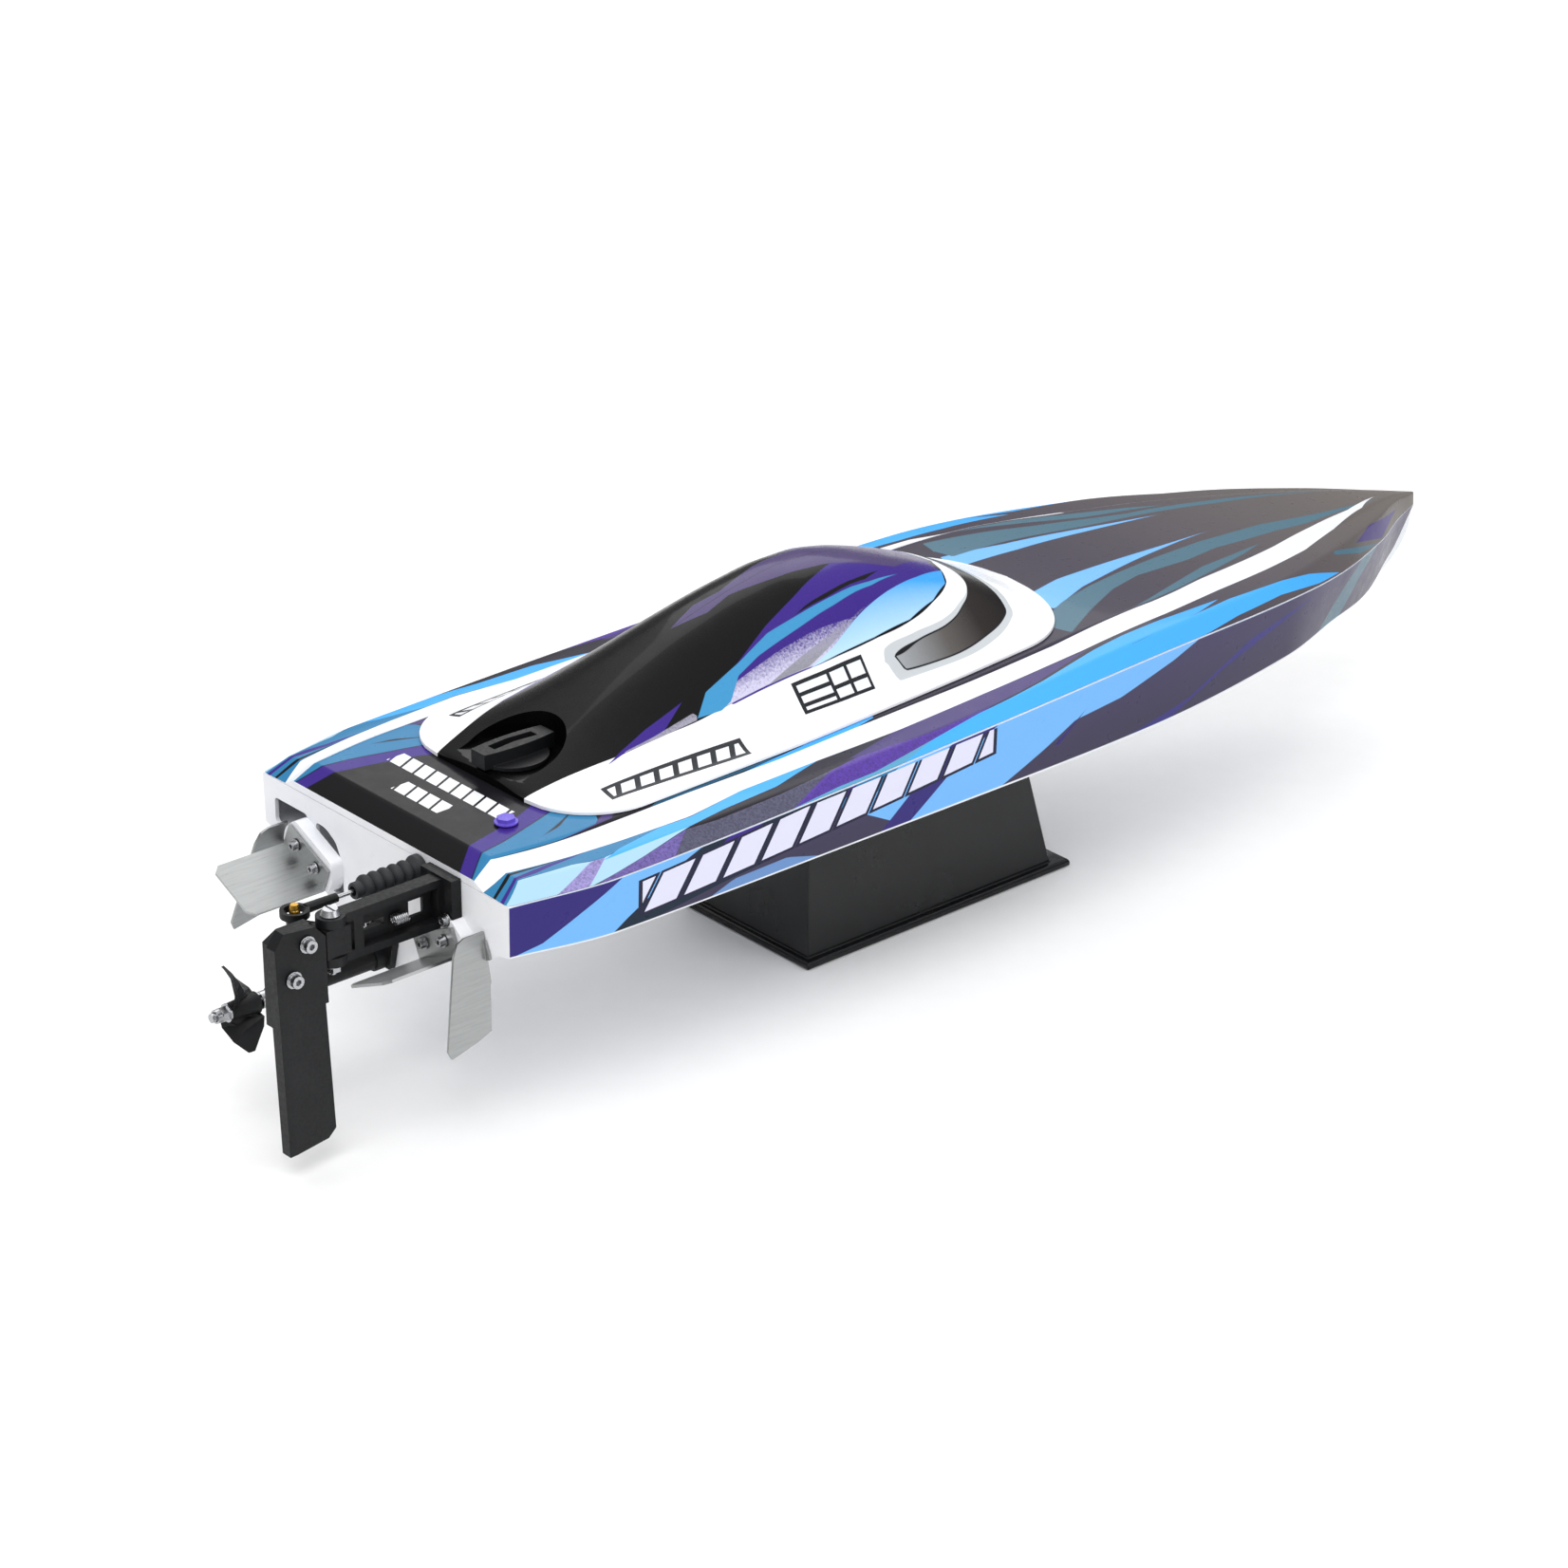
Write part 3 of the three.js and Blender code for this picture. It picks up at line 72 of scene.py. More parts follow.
# station: sheer half breadth, deck height, sheer drop, centre deck half breadth, flare, chine height
OFFSETS = {
    0: (83, 0, 9.8, 61.4, 0.5, -32.5),
    50: (91.5, 0.4, 9.7, 65.5, 1, -33.8),
    150: (93.2, 2, 8.5, 66, 1, -33.4),
    250: (92, 4.3, 7.8, 67, 1, -34.4),
    350: (87.5, 7.7, 9.5, 61, 1, -36.3),
    450: (73.5, 2.3, 9.6, 44.5, 2, -37),
    510: (53.5, -3, 12, 28.5, 6, -42),
    560: (29.5, -9.5, 12, 15, 6, -48.5),
    596: (9, -15.5, 9.5, 3.5, 5, -45.5),
    LENGTH: (1.2, -19.5, 6.5, 0.4, 0.8, -28),
}
HATCH_REAR, HATCH_FRONT, HATCH_NOSE = 50, 344, 47
HATCH_RIM, LEDGE = 6, 10
HATCH_TAIL, HATCH_CORNER = 30, 34  # half breadth of the tail, and the radius of its corners
HATCH_TAPER, TAPER_Y = 4.5, 165
CREST = {
    50: 4.6, 83: 16, 106: 24, 130: 32, 160: 41.5, 190: 49, 212: 52, 226: 52,
    242: 49.5, 258: 45, 275: 39, 296: 30.5, 318: 20, 335: 12, 344: 9.8,
}
LATCH_Y, LATCH_RECESS, LATCH_FLOOR, SPINDLE = 67, 22, 5.2, 3
SHAFT_Z = -62
TUBE_HOLE, ROD_HOLE = 3.3, 3.4
PLUG_X, PLUG_Y, PLUG_HOLE = 39, 33, 2.6
BALL = Vector((25.5, -61, -13.5))
RUDDER_X = 42.5


def part_frame(point):
    """A point in boat millimetres as metres in the CAD frame."""
    return Vector((point[0] * MM, TRANSOM_Y + point[1] * MM, DECK_Z + point[2] * MM))


def clamp(value, low=0.0, high=1.0):
    return min(high, max(low, value))


def fair(table, column=None):
    """A monotone cubic through one column of a table keyed by station."""
    x = sorted(table)
    v = [table[k] if column is None else table[k][column] for k in x]
    chords = [(v[i + 1] - v[i]) / (x[i + 1] - x[i]) for i in range(len(x) - 1)]
    slopes = [chords[0]]
    for a, b in zip(chords, chords[1:]):
        slopes.append(0 if a * b <= 0 else 2 * a * b / (a + b))
    slopes.append(chords[-1])

    def at(station):
        i = 0
        while i < len(x) - 2 and station > x[i + 1]:
            i += 1
        h = x[i + 1] - x[i]
        t = clamp((station - x[i]) / h)
        return (
            v[i] * (2 * t**3 - 3 * t * t + 1)
            + v[i + 1] * (3 * t * t - 2 * t**3)
            + slopes[i] * h * (t**3 - 2 * t * t + t)
            + slopes[i + 1] * h * (t**3 - t * t)
        )

    return at


sheer_at, deck_at, drop_at, centre_at, flare_at, chine_at = (fair(OFFSETS, c) for c in range(6))
crest_at = fair(CREST)


def stern_fade(y):
    return max(0, 1 - y / STERN_CHAMFER)


def deck_z(y):
    return deck_at(y) - STERN_DROP * stern_fade(y)


def sheer_z(y):
    return deck_at(y) - drop_at(y)


def half_section(y, inset=0):
    """Starboard half section from the middle of the deck to the keel, as (x, z) pairs."""
    fade = clamp((LENGTH - y) / BOW_TAPER, 0.04)
    sheer = max(0.5, sheer_at(y) - inset)
    top = deck_z(y) - inset
    step = max(top - 3 * fade, sheer_z(y) - inset + 0.5)
    knuckle = max(0.4, sheer - BEVEL * fade * (1 - 0.7 * stern_fade(y)))
    centre = min(centre_at(y), knuckle * 0.75)
    foot = min(centre + 6 * fade, knuckle * 0.92)
    chine = max(0.4, sheer - flare_at(y))
    u = max(0, (y - FOREFOOT_Y) / (LENGTH - FOREFOOT_Y))
    keel = STEM_TIP_Z - 3 - (KEEL_DEPTH + STEM_TIP_Z - 3) * math.sqrt(max(0, 1 - u * u)) + inset * 1.2
    chine_z = max(chine_at(y) + inset * 0.6, keel + 0.6)
    flat = max(chine * 0.5, chine - CHINE_FLAT * fade)
    return [
        (0, top), (centre, top), (foot, step), (knuckle, step - 0.4), (sheer, sheer_z(y) - inset * 0.2),
        (chine, chine_z), (flat, max(chine_z - 1.2, keel + 0.3)), (0, keel),
    ]


# Rounding at each corner of the half section, and how many faces each strake is split into.
CORNER_RADII = {1: 0.9, 2: 0.9, 3: 1.3, 4: 0.9, 5: 0.6, 6: 0.5}
STRAKE_SPLITS = (4, 1, 3, 2, 4, 1, 4)


def rounded_half(y, inset=0):
    """The half section with small rounded corners: rows of (x, z, strake coordinate)."""
    corners = [Vector(p) for p in half_section(y, inset)]
    rows = []
    for k, split in enumerate(STRAKE_SPLITS):
        a, b = corners[k], corners[k + 1]
        length = max((b - a).length, 1e-6)
        start = min(CORNER_RADII.get(k, 0) / length, 0.3)
        end = 1 - min(CORNER_RADII.get(k + 1, 0) / length, 0.3)
        for i in range(split + 1):
            t = start + (end - start) * i / split
            p = a.lerp(b, t)
            rows.append((p.x, p.y, k + t))
        if k + 1 in CORNER_RADII:
            before = rows[-1]
            c = corners[k + 2]
            t = min(CORNER_RADII[k + 1] / max((c - b).length, 1e-6), 0.3)
            after = b.lerp(c, t)
            middle = (Vector(before[:2]) + b * 2 + after) / 4
            rows.append((middle.x, middle.y, k + 1))
    return rows


STERN_STATIONS = [0, 0.25, 1.0, 2.4, 4.2, 6.4, 8.4, 9.6, 10.8, 13]
BOW_STATIONS = [LENGTH - d for d in (14, 10.5, 7.5, 5, 3, 1.5, 0.6, 0)]


def stations(low, high, step=4.0):
    """Stations from low to high: close at the stern chamfer and the stem, even between."""
    middle = np.linspace(17, LENGTH - 18, int((LENGTH - 35) / step))
    every = [*STERN_STATIONS, *middle, *BOW_STATIONS]
    return [low, *[y for y in every if low + 0.1 < y < high - 0.1], high]


# ---- mesh helpers
def new_object(name, data):
    obj = bpy.data.objects.new(name, data)
    bpy.context.scene.collection.objects.link(obj)
    return obj


def loft_mesh(name, rings, uvs=None, endless=False):
    """A closed skin through rings of equal length, each a list of (x, y, z) in boat millimetres.

    It has a cap at each end, or, if it is endless, the last ring joins the first."""
    bm = bmesh.new()
    layer = bm.loops.layers.uv.new("livery")
    verts = [[bm.verts.new(p) for p in ring] for ring in rings]
    place = {}
    for r, ring in enumerate(verts):
        for i, vert in enumerate(ring):
            place[vert] = uvs[r][i] if uvs else (0, 0)
    for ring, following in zip(verts, verts[1:] + (verts[:1] if endless else [])):
        for i in range(len(ring)):
            j = (i + 1) % len(ring)
            bm.faces.new((ring[i], ring[j], following[j], following[i]))
    if not endless:
        bm.faces.new(verts[0])
        bm.faces.new(list(reversed(verts[-1])))
    for face in bm.faces:
        for loop in face.loops:
            loop[layer].uv = place[loop.vert]
    bmesh.ops.recalc_face_normals(bm, faces=bm.faces)
    mesh = bpy.data.meshes.new(name)
    bm.to_mesh(mesh)
    bm.free()
    return new_object(name, mesh)


def prism(name, outline, low, high, axis="z"):
    """An outline of (a, b) pairs raised along an axis: z takes them as (x, y), y as (x, z)."""
    rings = [[(a, b, h) if axis == "z" else (a, h, b) for a, b in outline] for h in (low, high)]
    return loft_mesh(name, rings)


def apply_boolean(obj, other, operation):
    """Applies a boolean with another object, which is used up."""
    modifier = obj.modifiers.new("boolean", "BOOLEAN")
    modifier.operation = operation
    modifier.solver = "EXACT"
    modifier.object = other
    bake_modifiers(obj)
    bpy.data.objects.remove(other)


def cut(obj, other):
    apply_boolean(obj, other, "DIFFERENCE")


def angles(sides):
    return np.linspace(0, math.tau, sides, False)


def turned(origin, turn, radius, angle, along=0.0):
    """A point at a radius and an angle round an axis through the origin point."""
    return tuple(origin + turn @ Vector((radius * math.cos(angle), radius * math.sin(angle), along)))


def join_objects(objects):
    bpy.ops.object.select_all(action="DESELECT")
    for obj in objects:
        obj.select_set(True)
    bpy.context.view_layer.objects.active = objects[0]
    bpy.ops.object.join()
    return objects[0]


def into_frame(obj):
    """Moves a mesh made in boat millimetres into the frame."""
    scale = Matrix.Diagonal((MM, MM, MM, 1))
    shift = Matrix.Translation((0, TRANSOM_Y, DECK_Z))
    obj.data.transform(shift @ scale)
    return obj


def smooth(obj, angle):
    """Shades smooth, with face-weighted normals and creases above an angle."""
    for polygon in obj.data.polygons:
        polygon.use_smooth = True
    obj.data.set_sharp_from_angle(angle=math.radians(angle))
    modifier = obj.modifiers.new("normals", "WEIGHTED_NORMAL")
    modifier.keep_sharp = True
    modifier.weight = 60
    return obj


def dress(obj, *materials):
    obj.data.materials.clear()
    for material in materials:
        obj.data.materials.append(material)


def bake_modifiers(obj):
    """Applies what an object's modifiers make of it."""
    bpy.context.view_layer.update()
    evaluated = obj.evaluated_get(bpy.context.evaluated_depsgraph_get())
    obj.data = bpy.data.meshes.new_from_object(evaluated)
    obj.modifiers.clear()


# ---- node helpers
class Graph:
    """A material's node tree, with short ways to add the nodes that the paints need."""

    def __init__(self, name):
        self.material = bpy.data.materials.new(name)
        self.material.use_nodes = True
        self.tree = self.material.node_tree
        self.shader = self.tree.nodes["Principled BSDF"]

    def node(self, kind, **settings):
        made = self.tree.nodes.new(kind)
        for key, value in settings.items():
            setattr(made, key, value)
        return made

    def feed(self, socket, value):
        if isinstance(value, bpy.types.NodeSocket):
            self.tree.links.new(value, socket)
        else:
            socket.default_value = value

    def math(self, operation, a, b=0.0, clamped=False):
        made = self.node("ShaderNodeMath", operation=operation, use_clamp=clamped)
        self.feed(made.inputs[0], a)
        self.feed(made.inputs[1], b)
        return made.outputs[0]

    def mix(self, factor, a, b):
        made = self.node("ShaderNodeMix", data_type="RGBA")
        self.feed(made.inputs[0], factor)
        self.feed(made.inputs[6], a)
        self.feed(made.inputs[7], b)
        return made.outputs[2]

    def noise(self, coordinates, scale, detail=3.0, roughness=0.6):
        made = self.node("ShaderNodeTexNoise")
        self.feed(made.inputs["Vector"], coordinates)
        for name, number in (("Scale", scale), ("Detail", detail), ("Roughness", roughness)):
            made.inputs[name].default_value = number
        return made.outputs["Fac"]

    def remap(self, value, low, high, to_low=0.0, to_high=1.0):
        made = self.node("ShaderNodeMapRange", clamp=True)
        for socket, number in zip(made.inputs, (value, low, high, to_low, to_high)):
            self.feed(socket, number)
        return made.outputs[0]

    def ramp(self, value, stops):
        made = self.node("ShaderNodeValToRGB")
        self.feed(made.inputs[0], value)
        elements = made.color_ramp.elements
        while len(elements) < len(stops):
            elements.new(0.5)
        for element, (position, tint) in zip(elements, stops):
            element.position = position
            element.color = colour(tint)
        return made.outputs[0]

    def curve(self, value, points, curved=False):
        """A line through (input, output) pairs from 0 to 1, straight between them unless it is curved."""
        made = self.node("ShaderNodeFloatCurve")
        self.feed(made.inputs["Value"], value)
        line = made.mapping.curves[0]
        made.mapping.extend = "HORIZONTAL"
        while len(line.points) < len(points):
            line.points.new(0.5, 0.5)
        for point, place in zip(line.points, points):
            point.location = place
            point.handle_type = "AUTO_CLAMPED" if curved else "VECTOR"
        made.mapping.update()
        return made.outputs[0]

    def bump(self, height, distance, strength=1.0):
        made = self.node("ShaderNodeBump")
        made.inputs["Strength"].default_value = strength
        made.inputs["Distance"].default_value = distance
        self.feed(made.inputs["Height"], height)
        self.put("Normal", made.outputs[0])

    def both(self, a, b):
        """The product of two values or masks."""
        return self.math("MULTIPLY", a, b)

    def above(self, value, limit):
        return self.math("GREATER_THAN", value, limit)

    def below(self, value, limit):
        return self.math("LESS_THAN", value, limit)

    def put(self, name, value):
        """Feeds one of the surface shader's inputs."""
        self.feed(self.shader.inputs[name], value)

    def place(self):
        """Object coordinates: metres in the CAD frame, which move with the piece."""
        return self.node("ShaderNodeTexCoord").outputs["Object"]

    def split(self, vector):
        made = self.node("ShaderNodeSeparateXYZ")
        self.feed(made.inputs[0], vector)
        return made.outputs


def colour(code):
    """A hex colour as linear RGBA; any other value is given back unchanged."""
    if not isinstance(code, str):
        return code
    parts = [int(code[i : i + 2], 16) / 255 for i in (0, 2, 4)]
    return (*[p / 12.92 if p <= 0.04045 else ((p + 0.055) / 1.055) ** 2.4 for p in parts], 1)


class Livery:
    """Painted shapes over a base colour. A shape lies between two lines across the panel, each a list
    of (station, across) pairs; across is the strake coordinate on the hull and millimetres on the hatch.
    The lower line may stop short of an end of the upper one, and then it runs on to meet it. Where the
    two lines stop apart inside the panel, the shape ends there."""

    MARGIN = 1.0  # room below zero, so that a shape can reach past the centre line
    EDGE = 2.0  # a shape that starts this near the panel's end runs off it
    END = 0.6  # how far beyond its last station an open shape closes
    RUN_OUT = 8.0  # how much further its two lines run on together, past the curve's own sampling step

    def __init__(self, graph, station, across, station_span, across_span, base, soft):
        self.graph, self.station, self.soft = graph, station, soft
        self.low, self.high = station_span
        self.reach = across_span + self.MARGIN
        self.across = graph.math("DIVIDE", graph.math("ADD", across, self.MARGIN), self.reach)
        self.paint = base

    def closed(self, points, other):
        """The line with its ends brought together where the shape stops inside the panel."""
        tips = []
        for end, side in ((0, -1), (-1, 1)):
            (y, a), (_, b) = points[end], other[end]
            tip = []
            if self.low + self.EDGE < y < self.high - self.EDGE:
                meet = (a + b) / 2
                if a != b:
                    tip.append((y + side * self.END, meet))
                tip.append((min(self.high, max(self.low, y + side * self.RUN_OUT)), meet))
            tips.append(tip)
        return [*reversed(tips[0]), *points, *tips[1]]

    def line(self, points, curved):
        length = self.high - self.low
        scaled = [((y - self.low) / length, (a + self.MARGIN) / self.reach) for y, a in points]
        return self.graph.curve(self.station, scaled, curved)

    def mask(self, upper, lower, curved=False):
        g = self.graph
        edge = 1 / self.soft
        if lower[0][0] > upper[0][0]:
            lower = [upper[0], *lower]
        if lower[-1][0] < upper[-1][0]:
            lower = [*lower, upper[-1]]
        first = self.line(self.closed(upper, lower), curved)
        last = self.line(self.closed(lower, upper), curved)
        below = g.math("MULTIPLY", g.math("SUBTRACT", self.across, first), edge, True)
        above = g.math("MULTIPLY", g.math("SUBTRACT", last, self.across), edge, True)
        return g.both(below, above)

    def add(self, tint, upper, lower, only=None, fade=None, curved=False):
        """Paints a shape. only is a further mask, such as one side of the boat; fade dithers it."""
        g = self.graph
        area = self.mask(upper, lower, curved)
        for extra in (only, fade):
            if extra is not None:
                area = g.both(area, extra)
        self.stamp(tint, area)

    def stamp(self, tint, area):
        """Paints wherever a mask is 1."""
        self.paint = self.graph.mix(area, self.paint, colour(tint))


def gloss(graph, roughness=0.26, coat=0.1):
    """A clear-coated paint: fine orange peel and faint dust in the roughness."""
    spot = graph.place()
    dust = graph.noise(spot, 160, 4)
    graph.put("Roughness", graph.remap(dust, 0.3, 0.8, roughness, roughness + 0.12))
    graph.put("Specular IOR Level", 0.08)
    graph.put("Coat Weight", coat)
    graph.put("Coat Roughness", 0.05)
    graph.bump(graph.noise(spot, 420, 2), 0.00001, 0.2)


# ---- paints
WHITE = "e6e9ef"
SKY = "45a6f2"
LIGHT_BLUE = "74b4f2"
PALE_BLUE = "a5cbe2"
STEEL_BLUE = "2f78a5"
TEAL = "4d6f80"
PURPLE = "3a2580"
VIOLET = "463a70"
LAVENDER = "9d93cc"
INDIGO = "352c74"
CHARCOAL = "242228"
DUSK = "454060"
BLACK = "0c0c0e"


def striped_blocks(graph, along, across, period, gap, slant):
    """Generic slanted blocks in a row: 1 on a block, 0 in the gap between two."""
    shifted = graph.math("ADD", along, graph.both(across, slant))
    phase = graph.math("FRACT", graph.math("DIVIDE", shifted, period))
    return graph.above(graph.math("PINGPONG", phase, 0.5), gap / 2)


def between(graph, value, low, high):
    """1 where a value lies between two limits."""
    return graph.both(graph.above(value, low), graph.below(value, high))


def cells(graph, value, start, pitch, gap):
    """1 inside the cells of a row that starts at a line, 0 on the lines between them."""
    phase = graph.math("FRACT", graph.math("DIVIDE", graph.math("SUBTRACT", value, start), pitch))
    return graph.above(phase, gap / pitch)


def boat_axes(graph):
    """Station and signed breadth of the shaded point in boat millimetres."""
    x, y = graph.split(graph.place())[:2]
    station = graph.math("DIVIDE", graph.math("SUBTRACT", y, TRANSOM_Y), MM)
    return station, graph.math("DIVIDE", x, MM)


# The white stripe's edges.
STRIPE_UPPER = [
    (0, 1.05), (11, 1.3), (27, 1.34), (60, 1.3), (106, 1.21), (153, 1.3), (197, 1.2), (230, 1.2),
    (312, 1.28), (340, 1.12), (362, 1.03), (416, 0.97), (477, 0.98), (514, 0.94), (551, 0.84),
    (583, 0.46),
]
STRIPE_LOWER = [
    (0, 2.02), (4, 2.2), (10, 2.42), (47, 2.44), (61, 2.5), (96, 2.56), (126, 2.28), (165, 2.27),
    (212, 2.36), (261, 2.3), (321, 2.34), (373, 2.22), (417, 2.15), (492, 2.22), (528, 2.02),
    (555, 1.17),
]
POINT_SLANT, POINT_END = 60, 485


def deck_shapes(livery, port, starboard):
    """The shapes on the centre deck, from the transom to the bow."""
    add = livery.add
    add(PURPLE, [(0, 0.85), (14, 0.75), (39, 0.6), (50, 0.52), (80, 0.3)],
        [(0, 0.98), (22, 0.86), (37, 0.76), (53, 0.67)])
    add(STEEL_BLUE, [(0, 0.98), (22, 0.86), (37, 0.76), (53, 0.67), (76, 0.5)],
        [(0, 1.3), (41, 1.27), (63, 0.96)])
    add(CHARCOAL, [(34, 0.95), (52, 0.81), (66, 0.7)], [(47, 0.89)])
    add(VIOLET, [(41, 1.25), (63, 0.95), (78, 0.85)], [(41, 1.3), (66, 1.03)])
    add("2d5b78", [(86, 1.25), (92, 0.9), (150, 0.9), (160, 0.96)], [(107, 1.21), (147, 1.16)])
    add(SKY, [(128, 1.32), (147, 1.16), (154, 1.1), (170, 0.98), (209, 0.97)], [(165, 1.35), (197, 1.22)])
    # Long spears on the fore deck: one each side, not quite mirrored.
    add(LIGHT_BLUE, [(338, 0.3), (362, 0.22), (431, 0.18), (472, 0.145)],
        [(338, 0.62), (365, 0.46), (412, 0.3), (445, 0.2)], only=starboard)
    add(LIGHT_BLUE, [(340, 0.42), (374, 0.41), (415, 0.46), (467, 0.54)],
        [(340, 0.66), (374, 0.57), (419, 0.55)], only=port)
    add(TEAL, [(325, 0.7), (345, 0.56), (368, 0.47), (388, 0.42), (420, 0.36), (451, 0.32), (495, 0.36),
         (527, 0.54), (590, 0.8)],
        [(325, 1.0), (348, 0.82), (374, 0.64), (395, 0.57), (430, 0.6), (452, 0.56), (495, 0.68),
         (516, 0.8)], only=starboard)
    add(TEAL, [(345, 0.6), (374, 0.6), (420, 0.58), (500, 0.66), (585, 0.9)],
        [(345, 0.95), (400, 0.8), (450, 0.72), (520, 0.84)], only=port)
    add(TEAL, [(363, 0.99), (407, 0.86), (429, 0.79), (462, 0.79), (476, 0.8)],
        [(398, 0.98), (430, 0.93), (458, 0.87)])


def strip_shapes(livery, grain):
    """The shapes on the outboard strip and the bevel, under the white stripe."""
    add = livery.add
    add(STEEL_BLUE, [(0, 2.02), (4, 2.2), (10, 2.4), (60, 2.45), (97, 2.6)],
        [(0, 3.17), (10, 2.97), (34, 2.87), (48, 3.04), (57, 2.83), (75, 2.62)])
    add(BLACK, [(0, 2.44), (10, 2.47), (18, 2.46), (42, 2.42)],
        [(0, 2.56), (8, 2.62), (18, 2.55), (27, 2.49)])
    add(PURPLE, [(0, 2.77), (9, 2.8), (18, 2.64), (27, 2.5), (46, 2.43)],
        [(0, 2.93), (10, 2.93), (18, 2.85), (27, 2.66)])
    add(PALE_BLUE, [(0, 3.17), (10, 2.97), (34, 2.87), (42, 2.98)], [(0, 4.02), (20, 4.02)])
    add(LAVENDER, [(20, 4.02), (41, 2.97), (49, 3.0)], [(34, 4.02)], fade=grain)
    add(PALE_BLUE, [(34, 4.02), (48, 2.98), (62, 2.9), (90, 3.0)], [(44, 3.84), (64, 3.51)])
    add(SKY, [(46, 3.1), (57, 2.82), (81, 2.54), (96, 2.58), (126, 2.27), (168, 2.26)],
        [(64, 3.05), (90, 3.0), (111, 2.81), (140, 2.7), (152, 2.5)])
    add("7364a8", [(36, 4.02), (44, 3.84), (64, 3.51), (88, 3.06)], [(76, 4.02)], fade=grain)
    add("5a5a70", [(76, 4.02), (88, 3.06), (103, 3.16), (136, 3.1), (170, 2.9)], [(138, 4.02)], fade=grain)
    add(VIOLET, [(180, 2.7), (210, 2.34), (260, 2.28), (325, 2.4)],
        [(180, 2.78), (222, 3.05), (253, 3.02), (285, 2.85)])
    add("5a3fa0", [(136, 4.02), (164, 2.96), (182, 2.8), (197, 2.88), (222, 3.05), (256, 3.0)],
        [(163, 3.82), (184, 3.82), (207, 3.62), (230, 3.5)], fade=grain)
    add("5a9cc0", [(136, 3.96), (163, 3.8), (184, 3.8), (219, 3.42)], [(136, 4.02), (205, 4.02)])
    add(SKY, [(196, 4.02), (219, 3.42), (248, 3.09), (288, 2.9), (325, 2.54), (345, 2.44), (370, 2.43),
         (410, 2.6)],
        [(325, 4.02), (341, 3.07), (373, 2.97), (391, 2.86)])
    add(SKY, [(322, 3.12), (349, 3.05), (376, 2.92), (414, 2.8), (452, 3.0), (475, 3.33), (501, 3.92)],
        [(322, 4.02), (380, 4.02), (411, 3.72), (446, 3.62), (478, 3.9)])
    add("4a3f78", [(528, 3.3), (548, 3.0), (590, 3.4)], [(560, 3.9)])
    add(TEAL, [(505, 3.05), (553, 3.96)], [(505, 3.25), (530, 3.8), (553, 3.98)])


def side_shapes(livery, grain):
    """The shapes on the topside, between the sheer and the chine."""
    add = livery.add
    add(LIGHT_BLUE, [(0, 4), (91, 4)], [(0, 5), (45, 5), (52, 4.81), (82, 4.13)])
    add(INDIGO, [(0, 4), (51, 4)], [(0, 5), (14, 4.85), (32, 4.42)])
    add("1d2a3a", [(45, 5), (52, 4.81), (82, 4.13), (91, 4), (170, 4)],
        [(70, 4.95), (100, 4.8), (130, 4.7)])
    add(PURPLE, [(99, 4.14), (104, 4.0), (121, 4)], [(118, 4.16)])
    add("6a8fc4", [(92, 5), (107, 4.8), (135, 4.78), (152, 4.96)], [(152, 5)])
    add(PURPLE, [(150, 4.4), (160, 4.16), (170, 4), (180, 4)], [(166, 4.25)])
    add(LIGHT_BLUE, [(165, 4.35), (173, 4), (254, 4)], [(200, 5), (214, 4.7)])
    add(STEEL_BLUE, [(160, 4.3), (173, 4), (196, 4)], [(182, 4.32)])
    add(LIGHT_BLUE, [(196, 5), (233, 4.25), (253, 4), (382, 4)],
        [(254, 5), (281, 4.68), (300, 4.43), (329, 4.38), (363, 4.17)])
    add(INDIGO, [(185, 5), (214, 4.22), (226, 4), (254, 4)], [(202, 5), (233, 4.28)])
    add(INDIGO, [(290, 4.62), (309, 4.28)], [(290, 4.7)])
    add("3a3580", [(325, 5), (375, 4.8), (420, 4.35), (480, 4.1)], [(360, 5), (400, 4.62)], fade=grain)
    add(TEAL, [(486, 5), (512, 4.35), (530, 4), (554, 4)], [(512, 5), (532, 4.4)])


ROW_CLIMB, ROW_STATIONS = 480, (60, 250)
STERN_ROWS = ((33, 42, -41, 33), (18, 27, -18, 13))  # two rows: stations, then port and starboard ends


def name_blocks(livery, x_mm, y_mm, strake_number):
    """Generic slanted blocks, where the name is painted on the side and on the stern deck."""
    graph = livery.graph
    # On the side the row climbs towards the bow, by one strake in ROW_CLIMB millimetres.
    side_row = graph.math("ADD", strake_number, graph.math("DIVIDE", y_mm, ROW_CLIMB))
    on_side = between(graph, strake_number, 4.05, 4.93)
    rear, front = ROW_STATIONS
    for tint, grow in (("24243c", 1.0), ("dcdcf0", 0.0)):
        margin = 0.045 * grow
        block = striped_blocks(graph, y_mm, strake_number, period=19.4, gap=0.2 - 0.17 * grow, slant=16)
        area = graph.both(block, between(graph, side_row, 4.35 - margin, 4.92 + margin))
        area = graph.both(area, between(graph, y_mm, rear - 2 * grow, front + 2 * grow))
        livery.stamp(tint, graph.both(area, on_side))
    for low, high, left, right in STERN_ROWS:
        block = striped_blocks(graph, x_mm, y_mm, period=8.2, gap=0.17, slant=0.45)
        area = graph.both(block, between(graph, x_mm, left, right))
        area = graph.both(area, between(graph, y_mm, low, high))
        livery.stamp("e4e6ea", graph.both(area, graph.below(strake_number, 1.0)))


